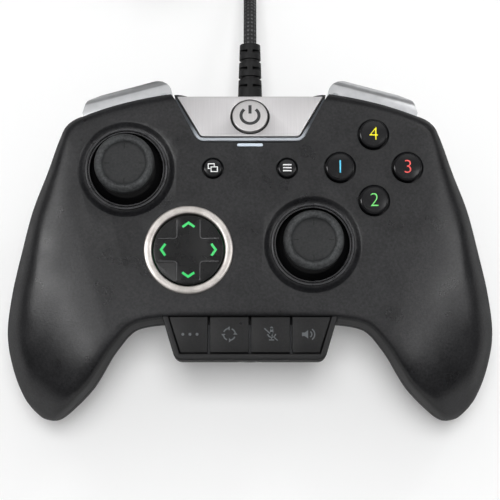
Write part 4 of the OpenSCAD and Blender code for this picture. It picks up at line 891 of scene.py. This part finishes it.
for name, at in BUTTONS.items():
    button("face_button_" + name, at, BUTTON_R, BUTTON_RISE, 2.8)
for name, at in SMALL_BUTTONS.items():
    button(name + "_button", at, SMALL_R, SMALL_RISE, 1.7)
home = [(0, -3.4), (2.4, -3.4), (2.4, -0.7), (5.6, -0.7), (5.6, 0.35)]
home += fillet((5.6, 0.67), (5.6, 0), (4.6, 0.74), 0.3) + [(4.6, 0.72), (2.5, 0.78), (0, 0.8)]
home_cap = turned("home_button_cap", home)
home_cap.data.transform(PLATE @ Matrix.Translation((0, HOME_RUN * MM, 0)))
fit(smooth(home_cap), home_metal, "home_button", ("home_button",))

# %% Thumb caps
RIM = 18.5
SKIRT_INSIDE, SKIRT_OUTSIDE = 11.4, 12.6


def skirt(r, start, step):
    turns = [math.radians(start + step * k) for k in range(11)]
    return [(r * math.sin(a), r * math.cos(a)) for a in turns]


cap_profile = [(0, 13.5), (1.85, 13.5), (1.85, 11.25)]
cap_profile += skirt(SKIRT_INSIDE, 9.35, 6.87) + skirt(SKIRT_OUTSIDE, 78, -5.85)
cap_profile += [(4.2, RIM - 4.4), (7.6, RIM - 4.05), (8.6, RIM - 3.8), (9.1, RIM - 3.4), (9.36, RIM - 2.8),
                (9.4, RIM - 2.2), (9.36, RIM - 1.6), (9.22, RIM - 1.1), (8.95, RIM - 0.65), (8.6, RIM - 0.32),
                (8.15, RIM - 0.1), (7.75, RIM), (7.4, RIM - 0.06), (7.1, RIM - 0.24), (6.85, RIM - 0.5),
                (6.6, RIM - 0.74), (6.25, RIM - 0.92), (5.6, RIM - 1.06), (4, RIM - 1.22), (2, RIM - 1.35),
                (0, RIM - 1.4)]
for side, at in STICKS.items():
    node = side + "_stick_cap"
    cap = turned(side + "_thumb_cap", cap_profile, (*at, STICK_PIVOT_Z), 128)
    fit(smooth(cap, 40), stick_rubber, BODY_OF[node], (node,))
    cap.data.materials.append(stick_worn)
    cap.data.materials.append(gloss_black)
    for face in cap.data.polygons:
        r = math.dist((face.center.x / MM, face.center.y / MM), at)
        height = face.center.z / MM - STICK_PIVOT_Z
        face.material_index = 1 if height > RIM - 1.2 and r > 6.8 else 2 if height < RIM - 4.3 else 0
print("thumb cap faces:", len(cap.data.polygons))

# %% [markdown]
# ## Marks
# Numbers, chevrons and icons are printed or shine through the plastic. Each mark is a thin skin
# cut to its outline and laid on the surface that carries it, following the crown of a button
# or the dish of the pad.

# %% Strokes and a skin that follows the surface
INK_LIFT, INK_DEPTH = 0.02, 0.05


def stroke(path, width, closed=False):
    path = [Vector(p) for p in path]
    count, sides = len(path), []
    for k, here in enumerate(path):
        before = path[k - 1] if closed or k else None
        after = path[(k + 1) % count] if closed or k < count - 1 else None
        a = (here - before).normalized() if before is not None else (after - here).normalized()
        b = (after - here).normalized() if after is not None else a
        normal = Vector((-(a + b).y, (a + b).x)).normalized()
        reach = width / 2 / max(normal.dot(Vector((-a.y, a.x))), 0.4)
        sides.append((here + normal * reach, here - normal * reach))
    pairs = [(sides[k], sides[(k + 1) % count]) for k in range(count if closed else count - 1)]
    return [[here[0], here[1], ahead[1], ahead[0]] for here, ahead in pairs]


def arc_path(r, start, stop, steps=14, at=(0, 0)):
    turns = [math.radians(start + (stop - start) * k / steps) for k in range(steps + 1)]
    return [(at[0] + r * math.cos(a), at[1] + r * math.sin(a)) for a in turns]


def disc(r, at=(0, 0)):
    return [arc_path(r, 0, 345, 23, at)]


def quarter_turns():
    return [Matrix.Rotation(math.pi / 2 * k, 2) for k in range(4)]


def turned_by(turn, path):
    return [turn @ Vector(p) for p in path]


def mark(name, polygons, at, lift, material, body, frame_matrix=None):
    points, faces = [], []
    for polygon in polygons:
        faces.append(tuple(range(len(points), len(points) + len(polygon))))
        points += [(px + at[0], py + at[1], 0) for px, py in polygon]
    return lay(new_piece(name, points, faces=faces), at, lift, material, body, frame_matrix)


def lay(piece, at, lift, material, body, frame_matrix=None):
    edit(piece, (bpy.ops.mesh.quads_convert_to_tris, {}), (bpy.ops.mesh.subdivide, {"number_cuts": 3}),
         FACE_OUTWARDS)
    for vertex in piece.data.vertices:
        r = math.dist((vertex.co.x / MM, vertex.co.y / MM), at)
        vertex.co.z = (lift(r) + INK_LIFT) * MM
    if sum(face.normal.z for face in piece.data.polygons) < 0:
        piece.data.flip_normals()
    skin = piece.modifiers.new("skin", "SOLIDIFY")
    skin.thickness, skin.offset = INK_DEPTH * MM, -1
    if frame_matrix:
        piece.data.transform(frame_matrix)
    freeze(piece)
    return fit(piece, material, body)


def crown(r, rise):
    return lambda distance: FACE_Z + rise - CROWN * (distance / r) ** 2


# %% Numbers on the face buttons
def number(name, text, at, size, material, body, lift):
    bpy.ops.object.select_all(action="DESELECT")
    bpy.ops.object.text_add()
    piece = bpy.context.object
    piece.name = name
    piece.data.body = text
    piece.data.align_x, piece.data.align_y = "CENTER", "CENTER"
    piece.data.size, piece.data.resolution_u = size * MM, 6
    piece.data.offset = -0.014 * size * MM
    bpy.ops.object.convert(target="MESH")
    box = [Vector(c) for c in piece.bound_box]
    middle = (box[0] + box[6]) / 2
    piece.data.transform(Matrix.Translation((at[0] * MM - middle.x, at[1] * MM - middle.y, 0)))
    return lay(piece, at, lift, material, body)


button_top = crown(BUTTON_R, BUTTON_RISE)
for name, text, ink in (("top", "4", yellow_ink), ("left", "1", blue_ink), ("right", "3", red_ink),
                        ("bottom", "2", green_ink)):
    number("number_" + name, text, BUTTONS[name], 6.2, ink, "face_button_" + name, button_top)

# %% Tops that carry marks, then chevrons, icons and ticks
PAD_MIDDLE = 5.45


def pad_top(r):
    return FACE_Z + (0.3 + 0.2 * r / PAD_MIDDLE if r < PAD_MIDDLE else 0.5 + 0.4 * (r - PAD_MIDDLE) / 5.15)


def key_top(r):
    return 47.5


def cap_dish(r):
    rise = 0.16 * (r - 4) / 1.6 if r < 5.6 else 0.16 + 0.14 * (r - 5.6) / 0.65
    return STICK_PIVOT_Z + RIM - 1.22 + rise


def home_top(r):
    return FACE_Z + 0.83 - (0.02 * r / 2.5 if r < 2.5 else 0.02 + 0.06 * (r - 2.5) / 2.1)


for turn, name in zip(quarter_turns(), ("right", "up", "left", "down")):
    path = turned_by(turn, ((7.2, 1.85), (8.5, 0), (7.2, -1.85)))
    mark("chevron_" + name, stroke(path, 0.75), PAD, pad_top, green_light, "dpad")

# Thin pale lines along the edges of the cross: painted highlight.
for turn, name in zip(quarter_turns(), ("right_rear", "left_rear", "left_front", "right_front")):
    path = turned_by(turn, rounded([(3.6, 9.6), (3.6, 3.6), (9.6, 3.6)], [0, 0.9, 0]))
    mark("pad_edge_" + name, stroke(path, 0.2), PAD, pad_top, pad_edge, "dpad")

small_top = crown(SMALL_R, SMALL_RISE)
squares = stroke([(-0.53, -1.25), (1.47, -1.25), (1.47, 0.25), (-0.53, 0.25)], 0.3, closed=True)
squares += stroke([(-0.83, -0.25), (-1.42, -0.25), (-1.42, 1.25), (0.48, 1.25), (0.48, 0.55)], 0.3)
mark("icon_two_squares", squares, SMALL_BUTTONS["view"], small_top, white_ink, "view_button")
bars = [s for h in (-0.95, 0, 0.95) for s in stroke([(-1.35, h), (1.35, h)], 0.38)]
mark("icon_three_lines", bars, SMALL_BUTTONS["menu"], small_top, white_ink, "menu_button")

KEYS_Y = -28.35
dots = [d for h in (-2.2, 0, 2.2) for d in disc(0.45, (h, 0))]
mark("icon_dots", dots, (-18.6, KEYS_Y), key_top, grey_ink, "profile_key")
swap = []
for turn in quarter_turns():
    swap += [turned_by(turn, quad) for quad in stroke(arc_path(1.85, 14, 66, 8), 0.4)]
    swap += [turned_by(turn, ((1.2, -0.1), (2.5, -0.1), (1.85, 0.75)))]
mark("icon_swap", swap, (-6.4, KEYS_Y), key_top, grey_ink, "remap_key")
mark("light_dot", disc(0.42), (-2.9, -25.0), key_top, gloss_black, "remap_key")
mic = stroke([(0.5, 1.9), (0.5, 0.2)], 1.0) + disc(0.5, (0.5, 1.9)) + disc(0.5, (0.5, 0.2))
mic += stroke(arc_path(1.25, 190, 350, 12, (0.5, 0.3)), 0.36) + stroke([(0.5, -0.95), (0.5, -1.75)], 0.36)
mic += stroke([(-0.3, -1.75), (1.3, -1.75)], 0.36) + stroke([(-1.75, 1.85), (2.35, -1.95)], 0.32)
mark("icon_muted_microphone", mic, (6.2, KEYS_Y), key_top, grey_ink, "mute_key")
horn = [[(-2.0, 0.55), (-2.0, -0.55), (-1.1, -0.55), (-1.1, 0.55)]]
horn += [[(-1.1, 0.55), (-1.1, -0.55), (-0.1, -1.3), (-0.1, 1.3)]]
horn += stroke(arc_path(1.05, -55, 55, 10), 0.36) + stroke(arc_path(1.95, -55, 55, 12), 0.36)
mark("icon_loudspeaker", horn, (18.1, KEYS_Y), key_top, grey_ink, "volume_key")

# Four dark ticks in each cap's dish: painted shade of small grooves.
tick = stroke([(4.6, 0), (6.3, 0)], 0.3)
ticks = [turned_by(turn, quad) for turn in quarter_turns() for quad in tick]
for side, at in STICKS.items():
    mark("ticks_" + side, ticks, at, cap_dish, tick_painted_shade, BODY_OF[side + "_stick_cap"])

power = stroke(arc_path(2.85, 130, 410, 40), 1.0) + stroke([(0, 3.75), (0, 0.7)], 1.0)
on_home = PLATE @ Matrix.Translation((0, HOME_RUN * MM, -FACE_Z * MM))
mark("icon_power", power, (0, 0), home_top, dark_ink, "home_button", on_home)
